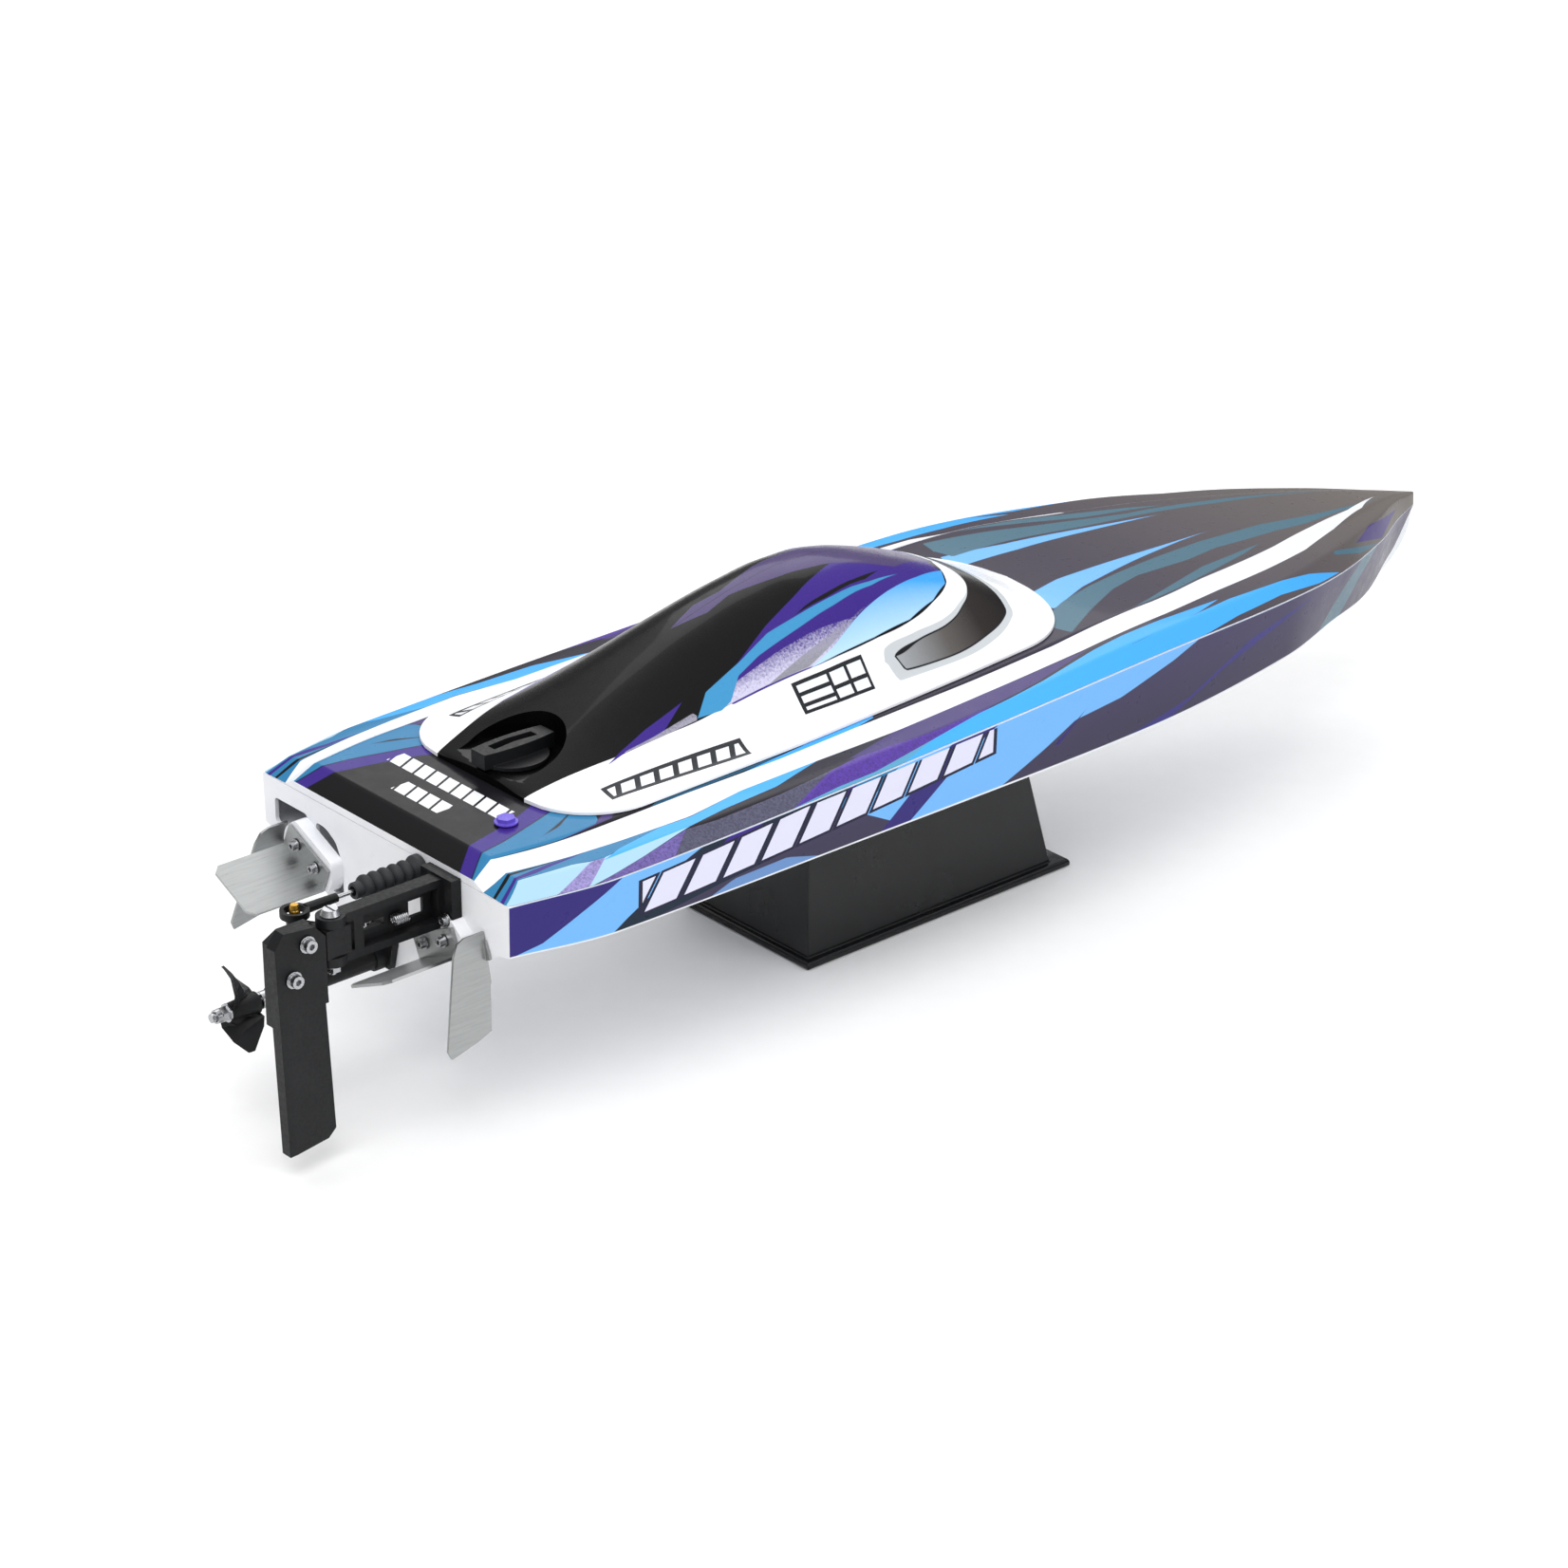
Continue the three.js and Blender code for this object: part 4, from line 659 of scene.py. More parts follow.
def hull_paint():
    """One livery for the hull and the deck, drawn on the map of station and strake."""
    graph = Graph("hull_livery")
    uv = graph.node("ShaderNodeUVMap", uv_map="livery")
    station, strake = graph.split(uv.outputs[0])[:2]
    strake_number = graph.both(strake, STRAKES)
    y_mm, x_mm = boat_axes(graph)
    grain = graph.remap(graph.noise(graph.place(), 850, 2, 0.7), 0.33, 0.62, 0.55, 1.0)
    deck_stops = [(0.0, BLACK), (0.14, CHARCOAL), (0.45, "2f2b3a"), (0.62, "443f4c"), (1.0, "6f6964")]
    deck_base = graph.ramp(station, deck_stops)
    side_base = graph.ramp(strake, [(0.5, DUSK), (0.6, "3e3a52")])
    base = graph.mix(graph.above(strake_number, 4.0), deck_base, side_base)
    livery = Livery(graph, station, strake_number, (0, LENGTH), STRAKES, base, 0.0012)
    starboard = graph.above(x_mm, 0)
    port = graph.below(x_mm, 0)
    deck_shapes(livery, port, starboard)
    strip_shapes(livery, grain)
    side_shapes(livery, grain)
    # On the port side the white stripe ends early, in a long slanting point.
    point = graph.math("ADD", y_mm, graph.both(strake_number, POINT_SLANT))
    striped = graph.math("MAXIMUM", starboard, graph.below(point, POINT_END))
    livery.add(WHITE, STRIPE_UPPER, STRIPE_LOWER, only=striped)
    # A thin pale line along the whole sheer: a painted highlight where the rounded sheer edge catches the
    # light.
    livery.add("c9d6ec", [(0, 3.985), (LENGTH, 3.985)], [(0, 4.02), (LENGTH, 4.02)])
    livery.add(WHITE, [(0, 4.96), (LENGTH, 4.96)], [(0, 8.0), (LENGTH, 8.0)])
    name_blocks(livery, x_mm, y_mm, strake_number)
    graph.put("Base Color", livery.paint)
    gloss(graph)
    return graph.material


def gelcoat():
    """Plain white gelcoat with a faint stain."""
    graph = Graph("white_gelcoat")
    stain = graph.noise(graph.place(), 22, 5)
    graph.put("Base Color", graph.ramp(stain, [(0.3, "e9ebf1"), (0.7, "f6f6f8")]))
    gloss(graph, 0.26, 0.4)
    return graph.material


HATCH_SPAN = 80
SILHOUETTE = [
    (50, 29), (65, 32), (81, 35.5), (93, 37.5), (112, 39), (136, 40.5), (177, 40.5), (200, 41),
    (229, 40.5), (251, 38.5), (269, 33.5), (283, 26), (287, 21), (296, 3), (298, 0),
]
PLATE_UPPER = [
    (229, 46.5), (231, 43.5), (250, 41.5), (269, 39.5), (284, 34), (292, 29), (299, 15), (302, -1),
    (317, -1),
]
PLATE_LOWER = [
    (229, 46.5), (233, 52.5), (260, 52.6), (288, 50.5), (306, 43.5), (311, 36), (315, 20), (317, -1),
]
WINDSCREEN_UPPER = [(235.5, 46), (252, 43.8), (270, 41.6), (284, 36), (292, 30), (300, 15), (303, -1)]
WINDSCREEN_LOWER = [(235.5, 46), (238.5, 50), (260, 50.4), (288, 47.5), (303, 42), (308, 34), (311, 15)]


def hatch_spine(livery, breadth, spot):
    """The airbrushed spine: purple panels either side of a steel-blue sweep, and fading flanks."""
    graph, add = livery.graph, livery.add
    add("060607", [(HATCH_REAR, -1), (SILHOUETTE[-1][0], -1)], SILHOUETTE, curved=True)
    grain = graph.noise(spot, 950, 2, 0.75)
    rise = graph.remap(breadth, 26, 40)
    powder = graph.remap(graph.math("ADD", rise, graph.math("SUBTRACT", grain, 0.5)), 0.35, 0.95)
    add(PURPLE, [(146, 33), (162, 30), (172, 27), (182, 24), (203, 19), (229, 11), (262, 0), (292, 0)],
        [(150, 41), (200, 41), (222, 36), (252, 28), (288, 19)])
    add("c9c6df", [(146, 36), (180, 33), (200, 32), (226, 33)],
        [(146, 40.4), (177, 40.4), (200, 40.8)], fade=powder)
    add("4b3f6b", [(50, -1), (150, 0), (165, 0), (225, 0), (262, 0), (300, 0)],
        [(150, 0), (167, 5), (180, 3), (202, 8), (229, 11), (262, 16)])
    add(BLACK, [(196, 25.5), (204, 24), (234, 21), (252, 18)], [(215, 24.6), (240, 22)])
    add("3f8fc0", [(132, 39.5), (142, 33), (163, 30), (181, 26.4), (209, 25.2), (241, 23), (262, 20)],
        [(144, 41), (150, 39.8), (159, 34), (172, 31.6), (216, 27.8), (241, 24.8)])
    add("8d8d97", [(168, 40.5), (190, 37), (222, 33), (252, 26)],
        [(192, 40.5), (208, 37.5), (226, 33)], fade=powder)
    sky_fade = graph.ramp(graph.remap(breadth, 24, 41), [(0.0, "3f9eea"), (1.0, "b9dcf6")])
    add(sky_fade, [(191, 41), (208, 38), (222, 34), (252, 26.5), (269, 22), (290, 15)],
        [(229, 40), (251, 38), (269, 33), (283, 25.5)])
    add(PURPLE, [(86, 38.2), (94, 36), (109, 33.4), (131, 31.6)], [(86, 38.6), (94, 37.8), (113, 38.9)])
    add("9a98a8", [(96, 37), (110, 37.5), (132, 37)], [(96, 38), (112, 39.2), (132, 40)], fade=powder)


def hatch_windscreen(livery, y_mm):
    """A painted windscreen: a pale plate with a thin dark line round the glass."""
    graph, add = livery.graph, livery.add
    add("c3c8cc", PLATE_UPPER, PLATE_LOWER, curved=True)
    glass_stops = [(0.0, "9fa3a7"), (0.4, "5d5a58"), (0.7, "2c2626"), (1.0, "100d0e")]
    glass = graph.ramp(graph.remap(y_mm, 236, 308), glass_stops)
    for tint, grow in (("1c1c20", 0.5), (glass, 0.0)):
        upper = [(y, a - grow) for y, a in WINDSCREEN_UPPER]
        lower = [(y, a + grow) for y, a in WINDSCREEN_LOWER]
        nose = (311 + grow, -1)
        add(tint, [*upper, nose], [*lower, nose], curved=True)


GRID_BREADTHS = (42.6, 52)
GRID_STATIONS = (180, 198.5, 219)  # rear, the line between bars and cells, front


def vent_grid(livery, y_mm, breadth):
    """A generic vent grid on each flank: three bars at the rear, four cells in front."""
    graph = livery.graph
    inner, outer = GRID_BREADTHS
    rear_y, split_y, front_y = GRID_STATIONS
    area = graph.both(between(graph, breadth, inner, outer), between(graph, y_mm, rear_y, front_y))
    livery.stamp("26282c", area)
    in_rear = between(graph, y_mm, rear_y + 2, split_y)
    rear = graph.both(in_rear, cells(graph, breadth, inner, pitch=3.13, gap=1.1))
    columns = cells(graph, y_mm, split_y, pitch=9.6, gap=1.7)
    front = graph.both(columns, cells(graph, breadth, inner, pitch=4.7, gap=1.1))
    front = graph.both(front, between(graph, y_mm, split_y, front_y - 1.4))
    bars = graph.math("MAXIMUM", rear, front)
    livery.stamp(WHITE, graph.both(bars, between(graph, breadth, inner + 0.4, outer - 1)))


LABEL_STATIONS, LABEL_TILT = (75, 145), 16


def label_bar(livery, y_mm, breadth):
    """A generic label bar on each flank."""
    graph = livery.graph
    rear_y, front_y = LABEL_STATIONS
    ahead = graph.math("SUBTRACT", front_y, y_mm)
    tilt = graph.math("ADD", breadth, graph.math("DIVIDE", ahead, LABEL_TILT))
    bar = graph.both(between(graph, tilt, 51, 58.8), between(graph, y_mm, rear_y, front_y))
    livery.stamp("34363a", bar)
    slots = striped_blocks(graph, y_mm, tilt, period=9.5, gap=0.3, slant=0.6)
    slots = graph.both(slots, between(graph, tilt, 52.6, 57.2))
    livery.stamp("e8eaee", graph.both(slots, between(graph, y_mm, rear_y + 2, front_y - 2)))


def hatch_paint():
    """The hatch: an airbrushed spine over white, a painted windscreen and small generic marks."""
    graph = Graph("hatch_livery")
    spot = graph.place()
    y_mm, x_mm = boat_axes(graph)
    breadth = graph.math("ABSOLUTE", x_mm)
    station = graph.remap(y_mm, HATCH_REAR, HATCH_FRONT)
    white = graph.ramp(graph.noise(spot, 30, 4), [(0.35, "eceef4"), (0.65, "f7f8fa")])
    livery = Livery(graph, station, breadth, (HATCH_REAR, HATCH_FRONT), HATCH_SPAN, white, 0.003)
    hatch_spine(livery, breadth, spot)
    hatch_windscreen(livery, y_mm)
    vent_grid(livery, y_mm, breadth)
    label_bar(livery, y_mm, breadth)
    graph.put("Base Color", livery.paint)
    gloss(graph, 0.22, 0.14)
    return graph.material


# ---- hardware materials
def nylon(name, tint="0e0f11", roughness=0.5, grain=700, contrast=1.6, relief=0.6, coat=0.0):
    """Moulded plastic: a cloudy tint and a fine grain."""
    graph = Graph(name)
    spot = graph.place()
    cloud = graph.noise(spot, 45, 4)
    dark = colour(tint)
    light = tuple(min(1, c * contrast + 0.002) for c in dark[:3]) + (1,)
    graph.put("Base Color", graph.ramp(cloud, [(0.35, dark), (0.75, light)]))
    specks = graph.noise(spot, grain, 3)
    graph.put("Roughness", graph.remap(specks, 0.3, 0.7, roughness - 0.08, roughness + 0.1))
    graph.put("Specular IOR Level", 0.25)
    graph.put("Coat Weight", coat)
    graph.bump(graph.noise(spot, grain * 1.6, 3), 0.00006, relief)
    return graph.material


def metal(name, tint, roughness, streak=(1, 1, 1), grain=350):
    """Metal with fine scratches; a streak longer in one direction gives brushed sheet."""
    graph = Graph(name)
    mapping = graph.node("ShaderNodeMapping")
    graph.feed(mapping.inputs["Vector"], graph.place())
    mapping.inputs["Scale"].default_value = streak
    lines = graph.noise(mapping.outputs[0], grain, 5, 0.7)
    dark = tuple(c * 0.78 for c in colour(tint)[:3]) + (1,)
    graph.put("Base Color", graph.ramp(lines, [(0.3, dark), (0.7, tint)]))
    graph.put("Roughness", graph.remap(lines, 0.3, 0.7, roughness - 0.08, roughness + 0.12))
    graph.put("Metallic", 1.0)
    graph.bump(lines, 0.00004, 0.35)
    return graph.material


def rubber(name, tint="15171a"):
    """Rubber or silicone with a pale bloom in patches."""
    graph = Graph(name)
    spot = graph.place()
    bloom = graph.noise(spot, 120, 5)
    graph.put("Base Color", graph.ramp(bloom, [(0.3, tint), (0.8, "2b2e33")]))
    graph.put("Roughness", graph.remap(bloom, 0.2, 0.8, 0.55, 0.8))
    graph.bump(graph.noise(spot, 900, 3), 0.00005, 0.7)
    return graph.material


def foam(name, tint="2a2b2e"):
    """Closed-cell foam: dark pits between small bubbles."""
    graph = Graph(name)
    bubbles = graph.node("ShaderNodeTexVoronoi")
    graph.feed(bubbles.inputs["Vector"], graph.place())
    bubbles.inputs["Scale"].default_value = 900
    pits = bubbles.outputs["Distance"]
    graph.put("Base Color", graph.ramp(pits, [(0.0, "101113"), (0.6, tint)]))
    graph.put("Roughness", 0.95)
    graph.bump(pits, 0.0002, 0.8)
    return graph.material


def printed_wrap(name, tint, mark):
    """Heat-shrunk wrap with a plain printed band."""
    graph = Graph(name)
    y_mm = boat_axes(graph)[0]
    band = between(graph, y_mm, 262, 268)
    wrinkle = graph.noise(graph.place(), 60, 6)
    base = graph.ramp(wrinkle, [(0.3, tint), (0.75, "3b4d70")])
    graph.put("Base Color", graph.mix(band, base, colour(mark)))
    graph.put("Roughness", graph.remap(wrinkle, 0.2, 0.8, 0.35, 0.55))
    graph.bump(wrinkle, 0.0003, 0.6)
    return graph.material


LIVERY = hull_paint()
GELCOAT = gelcoat()
HATCH_PAINT = hatch_paint()
LATCH_NYLON = nylon("latch_nylon", roughness=0.42)
SLOT_MATERIALS = {
    "hull_gelcoat": GELCOAT,
    "deck_livery": LIVERY,
    "hatch_livery": HATCH_PAINT,
    "black_nylon": nylon("black_nylon"),
    "stand_plastic": nylon("stand_plastic", "07080a", 0.2, grain=40, contrast=1.3, relief=0.15, coat=0.2),
    "black_rubber": rubber("black_rubber"),
    "stainless": metal("stainless", "b9babd", 0.25),
    "brushed_stainless": metal("brushed_stainless", "aeb0b0", 0.34, (1, 0.06, 1), 900),
    "brass": metal("brass", "c79a3e", 0.28),
    "blue_anodised": metal("blue_anodised", "2f5fa8", 0.34),
    "motor_black": metal("motor_black", "1a1a1d", 0.3),
    "purple_plastic": nylon("purple_plastic", "5a48b0", 0.3, grain=300),
    "battery_wrap": printed_wrap("battery_wrap", "1f2c44", "c8ccd4"),
    "foam": foam("closed_foam"),
    "silicone_wire": rubber("silicone_wire", "183a80"),
}
NODE_SLOT = {row["node"]: row["material_slot"] for row in frame["record"]["subparts"]}
NODE_BODY = {node: body for body, nodes in frame["record"]["behaviour"]["bodies"].items() for node in nodes}


def stand_for(obj, *nodes, material=None):
    """Makes a piece stand for CAD nodes: their body and, unless one is given, their slot's material."""
    slot = NODE_SLOT[nodes[0]]
    if material or not obj.data.materials:
        dress(obj, material or SLOT_MATERIALS[slot])
    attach(obj, NODE_BODY[nodes[0]])
    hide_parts(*nodes)
    return obj


# ---- hull and deck shells
def body_skin(name, inset, low, high, step=4.0, painted=True):
    """The whole outside of the boat between two stations, or an inset of it for the inside."""
    rings, maps = [], []
    for y in stations(low, high, step):
        half = [((x, y, z), (y / LENGTH, v / STRAKES)) for x, z, v in rounded_half(y, inset)]
        port = [((-p[0], p[1], p[2]), uv) for p, uv in reversed(half[1:-1])]
        rings.append([p for p, _ in half + port])
        maps.append([uv if painted else (0, 0) for _, uv in half + port])
    return loft_mesh(name, rings, maps)


def seam_block(name, offset):
    """Everything above the seam between hull and deck."""
    rings = []
    for y in [-20, *stations(0, LENGTH, 8), LENGTH + 20]:
        z = sheer_z(clamp(y, 0, LENGTH)) + offset
        rings.append([(-130, y, z), (130, y, z), (130, y, 90), (-130, y, 90)])
    return loft_mesh(name, rings)


def hatch_half(y):
    """The hatch's half breadth: a round-cornered tail, a slight taper and a blunt nose."""
    nose_start = HATCH_FRONT - HATCH_NOSE
    from_rear = clamp((y - HATCH_REAR) / HATCH_CORNER)
    corner = HATCH_TAIL + HATCH_CORNER * math.sqrt(1 - (1 - from_rear) ** 2)
    side = HATCH_TAIL + HATCH_CORNER - HATCH_TAPER * clamp((y - TAPER_Y) / (nose_start - TAPER_Y))
    u = clamp((y - nose_start) / HATCH_NOSE)
    return min(corner, side) * math.sqrt(max(0, 1 - u**2.4))


def hatch_stations(low, high):
    """Close together where the outline turns quickly: eased towards both ends."""
    count = 74
    eased = [(1 - math.cos(math.pi * i / count)) / 2 for i in range(count + 1)]
    return [low + (high - low) * (0.75 * t + 0.25 * i / count) for i, t in enumerate(eased)]


def hatch_outline(inset):
    """The hatch's outline from above, drawn in by an inset."""
    low, high = HATCH_REAR + inset, HATCH_FRONT - inset - 0.6
    side = []
    for y in hatch_stations(low, high):
        half = hatch_half(clamp(y, HATCH_REAR + 0.01, HATCH_FRONT)) - inset
        side.append((max(4 if inset else 1, half), y))
    return side + [(-x, y) for x, y in reversed(side)]


def rod(name, start, end, radius, sides=32):
    """A round bar between two points in boat millimetres."""
    a, b = Vector(start), Vector(end)
    turn = (b - a).to_track_quat("Z", "Y")
    return loft_mesh(name, [[turned(centre, turn, radius, t) for t in angles(sides)] for centre in (a, b)])


def block(name, low, high):
    outline = [(low[0], low[1]), (high[0], low[1]), (high[0], high[1]), (low[0], high[1])]
    return prism(name, outline, low[2], high[2])


def shell_materials(obj):
    """The livery on the mapped faces, plain gelcoat on the transom, the cut edges and the inside."""
    dress(obj, LIVERY, GELCOAT)
    layer = obj.data.uv_layers["livery"].data
    for polygon in obj.data.polygons:
        mapped = any(layer[i].uv.length > 1e-4 for i in polygon.loop_indices)
        on_transom = polygon.normal.y < -0.7 and polygon.center.y < 3
        polygon.material_index = 0 if mapped and not on_transom else 1


def build_hull_and_deck():
    """One thin skin cut in two along the seam, with the openings of each half."""
    skin = body_skin("skin", 0, 0, LENGTH)
    cut(skin, body_skin("inner", SKIN, SKIN, LENGTH - 9, 14, False))
    deck = new_object("deck_moulding", skin.data.copy())
    apply_boolean(deck, seam_block("above", GAP / 2), "INTERSECT")
    cut(deck, prism("opening", hatch_outline(LEDGE), -30, 60))
    cut(deck, rod("plug_hole", (PLUG_X, PLUG_Y, -8), (PLUG_X, PLUG_Y, 8), PLUG_HOLE))
    hull = skin
    hull.name = "hull_moulding"
    cut(hull, seam_block("above", -GAP / 2))
    flood_ports = (
        [(-75, -18.5), (-52, -18.5), (-52, -34), (-62, -30), (-75, -30)],
        [(-46, -19.5), (-39, -20), (-32.5, -24), (-29, -31), (-28, -48), (-33, -48), (-46, -42)],
    )
    for outline in flood_ports:
        cut(hull, prism("port", round_corners(outline, 2.2), -5, 5, "y"))
    cut(hull, rod("tube_exit", (0, -5, SHAFT_Z), (0, 6, SHAFT_Z), TUBE_HOLE))
    cut(hull, rod("rod_exit", (BALL.x, -5, BALL.z), (BALL.x, 6, BALL.z), ROD_HOLE))
    for side in (-1, 1):
        hull = join_objects([hull, build_tab_block(side)])
    for obj in (hull, deck):
        shell_materials(obj)
        into_frame(obj)
        smooth(obj, 38)
    stand_for(deck, "deck_shell")
    stand_for(hull, "hull_shell")


def round_corners(outline, radius, steps=5):
    """The outline with each corner replaced by a short curve."""
    rounded = []
    count = len(outline)
    for i in range(count):
        before, corner, after = (Vector(outline[(i + k) % count]) for k in (-1, 0, 1))
        a = corner + (before - corner).normalized() * min(radius, (before - corner).length * 0.45)
        b = corner + (after - corner).normalized() * min(radius, (after - corner).length * 0.45)
        for k in range(steps + 1):
            t = k / steps
            p = a * (1 - t) ** 2 + corner * 2 * t * (1 - t) + b * t * t
            rounded.append((p.x, p.y))
    return rounded


DEADRISE = math.atan2(KEEL_DEPTH + OFFSETS[0][5] - 1, OFFSETS[0][0] - CHINE_FLAT)
TAB_X, TAB_HALF, TAB_STRIP, TAB_BLOCK = 46, 14.5, 11, 6
TAB_PLACES = {1: (-32, 4), -1: (-26.5, -1)}  # by side: height of the tab, and the foot of its block


def build_tab_block(side):
    """The moulded block on the transom that a trim tab is screwed to."""
    tab_z, low = TAB_PLACES[side]
    half, top = TAB_HALF + 2, TAB_STRIP + 3
    outline = [(-half, low), (half, low), (half + 1, 6), (half - 3, top), (-half + 3, top), (-half - 1, 6)]
    made = prism("tab_block", round_corners(outline, 2.5), -TAB_BLOCK, -0.02, "y")
    turn = Matrix.Rotation(-DEADRISE, 4, "Y")
    mirror = Matrix.Diagonal((side, 1, 1, 1))
    made.data.transform(mirror @ Matrix.Translation((TAB_X, 0, tab_z - TAB_STRIP)) @ turn)
    if side < 0:
        made.data.flip_normals()
    return made


# ---- hatch
def dome_shape(t, y):
    """Height of the dome from 1 at the crest to 0 at its edge; it is fuller towards the windscreen."""
    full = clamp((y - 200) / 100)
    return (1 - min(1, t) ** (2.3 + 0.3 * full)) ** (1.5 - 0.35 * full)


def hatch_ring(y, inset, base):
    """One cross-section of the hatch: the dome, the flat rim and the edge down to a base height."""
    half = max(1.2, hatch_half(y) - inset)
    dome = max(0.8, half - HATCH_RIM)
    rim = deck_z(y) + GAP + SKIN - inset
    rise = max(0, crest_at(y) - inset - rim)
    arch = [(dome * t, rim + rise * dome_shape(t, y)) for t in [i / 24 for i in range(25)]]
    edge = [(half - 0.7, rim - 0.25), (half - 0.2, rim - 0.5), (half, rim - 0.9), (half, base)]
    starboard = arch + edge
    return [(x, y, z) for x, z in starboard] + [(-x, y, z) for x, z in reversed(starboard[1:])]


def build_hatch():
    """The hatch: a domed shell with a flat rim, and a bowl at its tail for the latch."""
    rings = [hatch_ring(y, 0, deck_z(y) + GAP) for y in hatch_stations(HATCH_REAR, HATCH_FRONT - 0.2)]
    outer = loft_mesh("hatch_moulding", rings)
    inside = hatch_stations(HATCH_REAR + 3, HATCH_FRONT - 5)
    inner = loft_mesh("inner", [hatch_ring(y, SKIN, deck_z(y) - 6) for y in inside])
    apply_boolean(inner, prism("limit", hatch_outline(HATCH_RIM + 1), -20, 80), "INTERSECT")
    bowl = rod("bowl", (0, LATCH_Y, LATCH_FLOOR - SKIN), (0, LATCH_Y, 60), LATCH_RECESS + SKIN, 64)
    reach = LATCH_RECESS + 1
    mouth = block("mouth", (-reach, HATCH_REAR - 4, LATCH_FLOOR - SKIN), (reach, LATCH_Y, 62))
    apply_boolean(bowl, mouth, "UNION")
    cut(inner, bowl)
    cut(outer, inner)
    recess = rod("recess", (0, LATCH_Y, LATCH_FLOOR), (0, LATCH_Y, 60), LATCH_RECESS, 64)
    reach = LATCH_RECESS - 1
    mouth = block("mouth", (-reach, HATCH_REAR - 8, LATCH_FLOOR), (reach, LATCH_Y, 62))
    apply_boolean(recess, mouth, "UNION")
    cut(outer, recess)
    cut(outer, rod("bore", (0, LATCH_Y, -10), (0, LATCH_Y, 20), SPINDLE + GAP))
    into_frame(outer)
    smooth(outer, 34)
    dress(outer, HATCH_PAINT, GELCOAT)
    for polygon in outer.data.polygons:
        polygon.material_index = 1 if polygon.normal.z < -0.05 else 0
    stand_for(outer, "hatch_shell")


# ---- hardware made finer than its CAD node
def closed_lathe(name, profile, origin, axis, sides=48):
    """A ring-shaped solid turned round an axis: the profile closes on itself and has a bore."""
    turn = Vector(axis).to_track_quat("Z", "Y")
    rings = [[turned(Vector(origin), turn, r, t, along) for r, along in profile] for t in angles(sides)]
    return loft_mesh(name, rings, endless=True)


def wire(name, points, radius, sides=12):
    """A tube along points, with closed ends."""
    path = [Vector(p) for p in points]
    rings = []
    for i, p in enumerate(path):
        along = (path[min(i + 1, len(path) - 1)] - path[max(i - 1, 0)]).normalized()
        turn = along.to_track_quat("Z", "Y")
        rings.append([turned(p, turn, radius, t) for t in angles(sides)])
    return loft_mesh(name, rings)


def build_boot():
    """The rubber bellows on the control rod: five round folds between a cuff and a flange."""
    length, radius, folds, bore = 33, 5.2, 5, 2.1
    pitch = (length - 9) / folds
    outer = [(bore + 1.2, 0), (bore + 1.4, 0.4), (bore + 1.4, 3)]
    for i in range(folds):
        for t in np.linspace(0, 1, 9)[:-1]:
            swell = math.sin(math.pi * t) ** 0.7
            outer.append((radius - 1.8 + 1.8 * swell, 3.5 + (i + t) * pitch))
    flange, back = radius + 0.6, length - 0.5
    outer += [(radius - 1.7, 3.5 + folds * pitch), (flange - 0.2, length - 3.5), (flange, length - 2.9)]
    profile = [*outer, (flange, back), (bore, back), (bore, 0)]
    boot = closed_lathe("bellows_boot", profile, (BALL.x, -length, BALL.z), (0, 1, 0))
    stand_for(smooth(into_frame(boot), 50), "pushrod_boot")


def build_spring():
    """A coil spring where the CAD has a plain bar."""
    x, z, start, end, radius, turns = RUDDER_X + 1.6, -21, -27.9, -20.6, 2.1, 7
    steps = turns * 20
    points = []
    for i in range(steps + 1):
        t = i / steps
        around = t * turns * math.tau
        y = start + 0.45 + (end - start - 0.9) * t
        points.append((x + radius * math.cos(around), y, z + radius * math.sin(around)))
    stand_for(smooth(into_frame(wire("coil_spring", points, 0.42)), 60), "breakaway_spring")


def polish(node, bevel, material=None):
    """A copy of a CAD node with its facets merged, its edges rounded and its shading smoothed."""
    obj = new_object(node + "_finish", frame["nodes"][node].data.copy())
    bm = bmesh.new()
    bm.from_mesh(obj.data)
    bmesh.ops.remove_doubles(bm, verts=bm.verts, dist=0.000002)
    bmesh.ops.dissolve_limit(bm, angle_limit=math.radians(1.5), verts=bm.verts, edges=bm.edges)
    for face in bm.faces:
        face.smooth = True
    bm.to_mesh(obj.data)
    bm.free()
    modifier = obj.modifiers.new("edges", "BEVEL")
    modifier.width = bevel * MM
    modifier.segments = 2
    modifier.limit_method = "ANGLE"
    modifier.angle_limit = math.radians(30)
    bake_modifiers(obj)
    smooth(obj, 34)
    dress(obj)
    return stand_for(obj, node, material=material)


SMALL_BEVEL = 0.18
BEVELS = {
    "boat_stand": 0.6, "latch_knob": 0.7, "rudder_holder": 0.4, "rudder_bracket": 0.4, "strut": 0.4,
    "rudder_blade": 0.35, "battery_pack": 3.0, "speed_controller": 0.5, "receiver_box": 1.0,
    "servo_case": 0.5, "motor_mount": 0.4, "flood_chamber_wall": 0.3, "motor_can": 0.8,
    "water_jacket": 0.5, "hatch_seal": 0.3,
}


def finish_hardware(done):
    """Polishes every node that has no piece of its own yet."""
    for node in sorted(set(frame["nodes"]) - done):
        material = LATCH_NYLON if node == "latch_knob" else None
        polish(node, BEVELS.get(node, SMALL_BEVEL), material)


# ---- floor, light and camera
FLOOR_REACH, FLOOR_DROP = 6.0, 0.0004
CAMERA_PLACE = (1345.48, -953.43, 785.56)  # boat millimetres
CAMERA_FORWARD = (-0.6837163, 0.5928536, -0.4255075)
CAMERA_LENS = 104.5


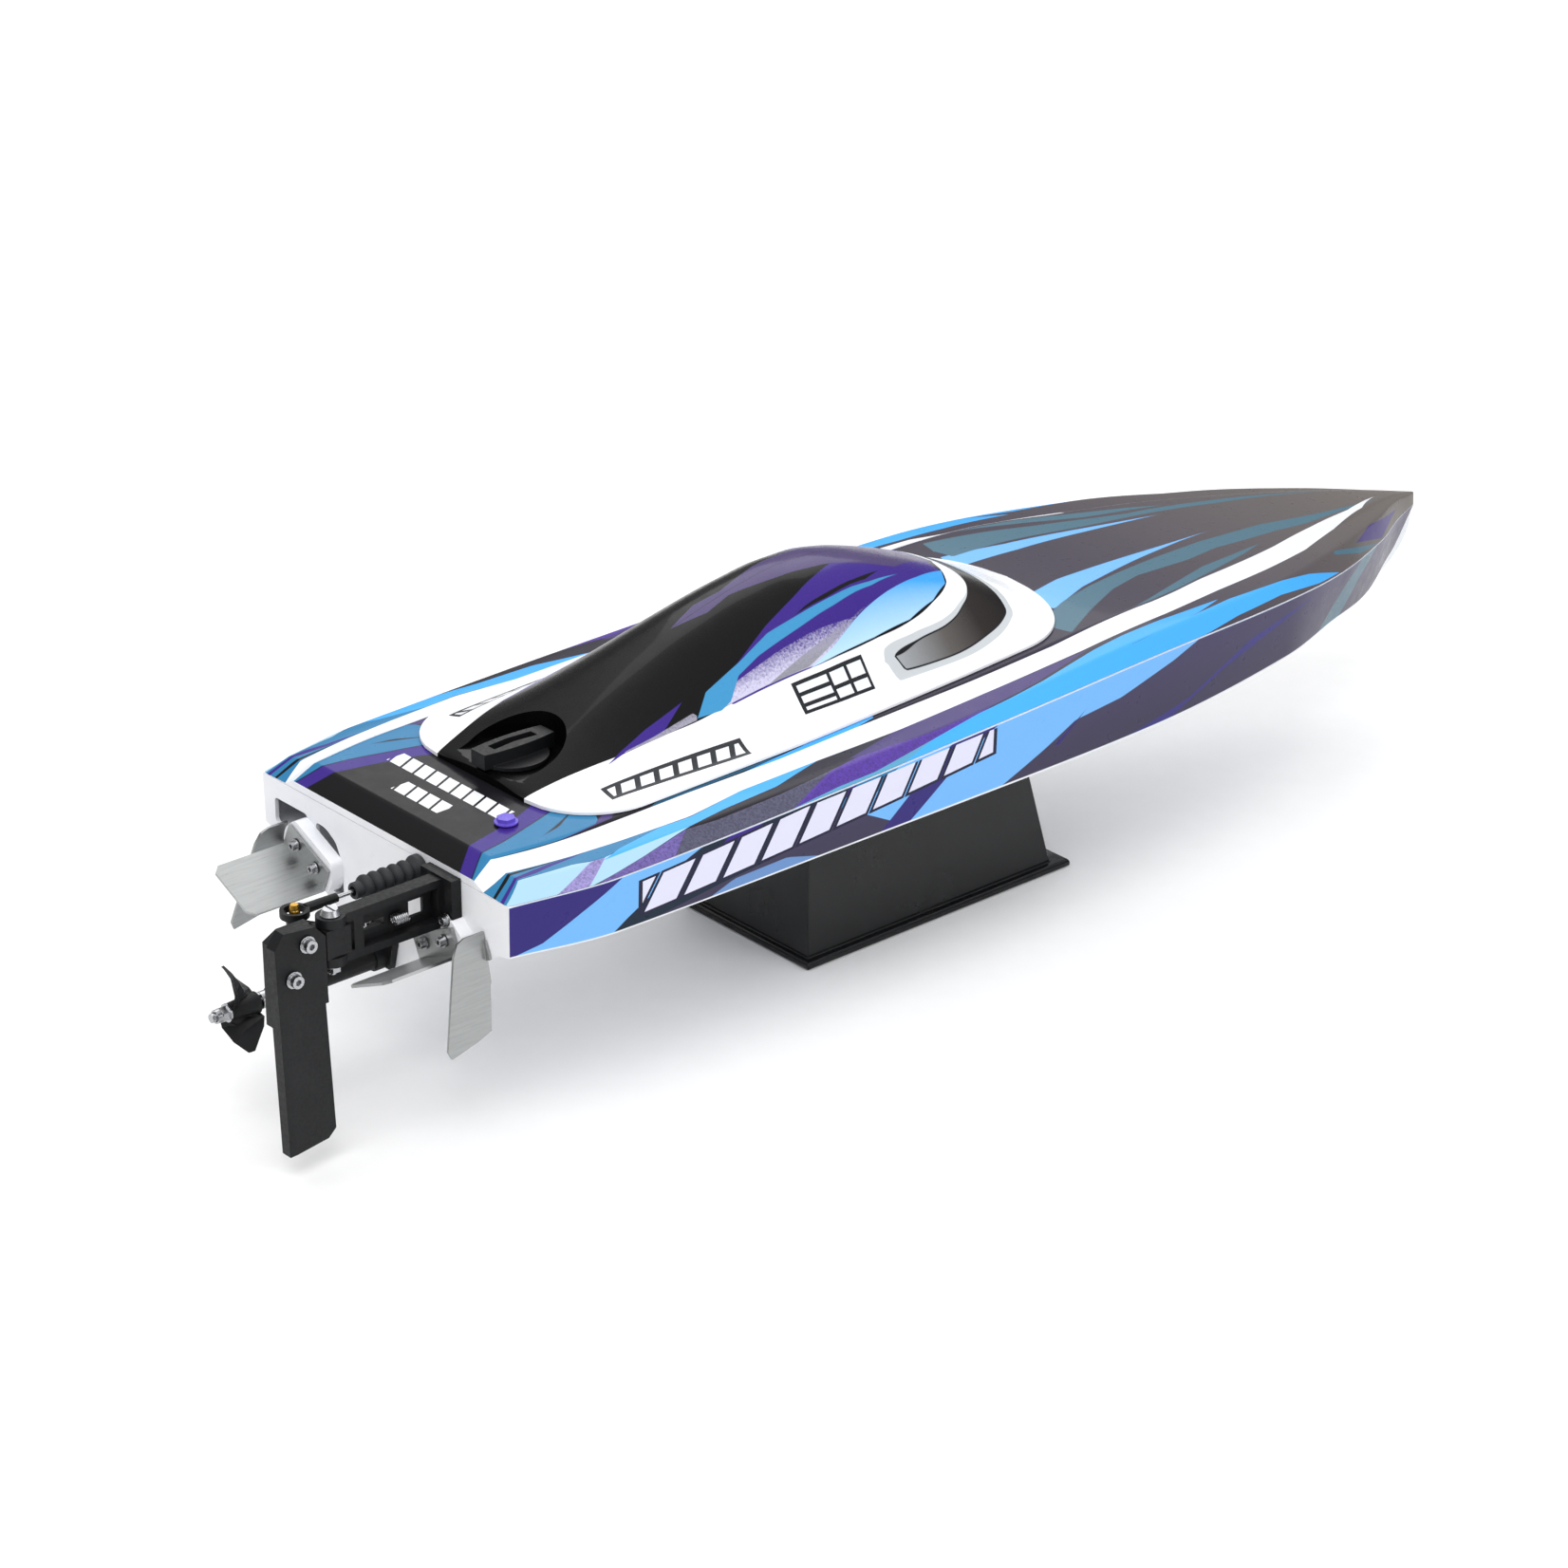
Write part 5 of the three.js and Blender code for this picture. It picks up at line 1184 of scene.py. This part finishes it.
def build_stage():
    """A pale floor, a sky that is dimmer near the horizon, and three soft lights."""
    floor = bpy.data.meshes.new("floor")
    corners = [(-1, -1), (1, -1), (1, 1), (-1, 1)]
    places = [(x * FLOOR_REACH, y * FLOOR_REACH, -FLOOR_DROP) for x, y in corners]
    floor.from_pydata(places, [], [(0, 1, 2, 3)])
    obj = new_object("floor", floor)
    graph = Graph("floor_paper")
    fibre = graph.noise(graph.place(), 60, 4)
    graph.put("Base Color", graph.ramp(fibre, [(0.0, (0.9, 0.9, 0.9, 1)), (1.0, (0.94, 0.94, 0.94, 1))]))
    graph.put("Roughness", 0.9)
    obj.data.materials.append(graph.material)

    world = bpy.data.worlds.new("studio")
    bpy.context.scene.world = world
    world.use_nodes = True
    tree = world.node_tree
    sky = tree.nodes.new("ShaderNodeTexCoord")
    height = tree.nodes.new("ShaderNodeSeparateXYZ")
    tree.links.new(sky.outputs["Generated"], height.inputs[0])
    ramp = tree.nodes.new("ShaderNodeValToRGB")
    for element, (position, level) in zip(ramp.color_ramp.elements, ((0.35, 0.22), (0.8, 1.0))):
        element.position = position
        element.color = (level, level, level, 1)
    tree.links.new(height.outputs["Z"], ramp.inputs[0])
    tree.links.new(ramp.outputs[0], tree.nodes["Background"].inputs["Color"])
    tree.nodes["Background"].inputs["Strength"].default_value = 1.15
    lights = (
        ("key", (0.7, -1.3, 1.9), 1.6, 24),
        ("rim", (-1.2, 1.0, 1.5), 1.4, 12),
        ("fill", (1.8, 0.6, 1.0), 1.2, 9),
    )
    for name, position, size, power in lights:
        data = bpy.data.lights.new(name, "AREA")
        data.size = size
        data.energy = power
        light = new_object(name, data)
        light.location = position
        light.rotation_euler = (-Vector(position)).to_track_quat("-Z", "Y").to_euler()


def build_camera():
    data = bpy.data.cameras.new("camera")
    camera = new_object("camera", data)
    camera.location = part_frame(CAMERA_PLACE)
    camera.rotation_euler = Vector(CAMERA_FORWARD).to_track_quat("-Z", "Y").to_euler()
    data.sensor_width = 36
    data.lens = CAMERA_LENS
    data.clip_end = 20
    bpy.context.scene.camera = camera


build_camera()
build_stage()
build_hull_and_deck()
build_hatch()
build_boot()
build_spring()
finish_hardware({"hull_shell", "deck_shell", "hatch_shell", "pushrod_boot", "breakaway_spring"})

bpy.context.scene.view_settings.view_transform = "Standard"
bpy.context.view_layer.update()
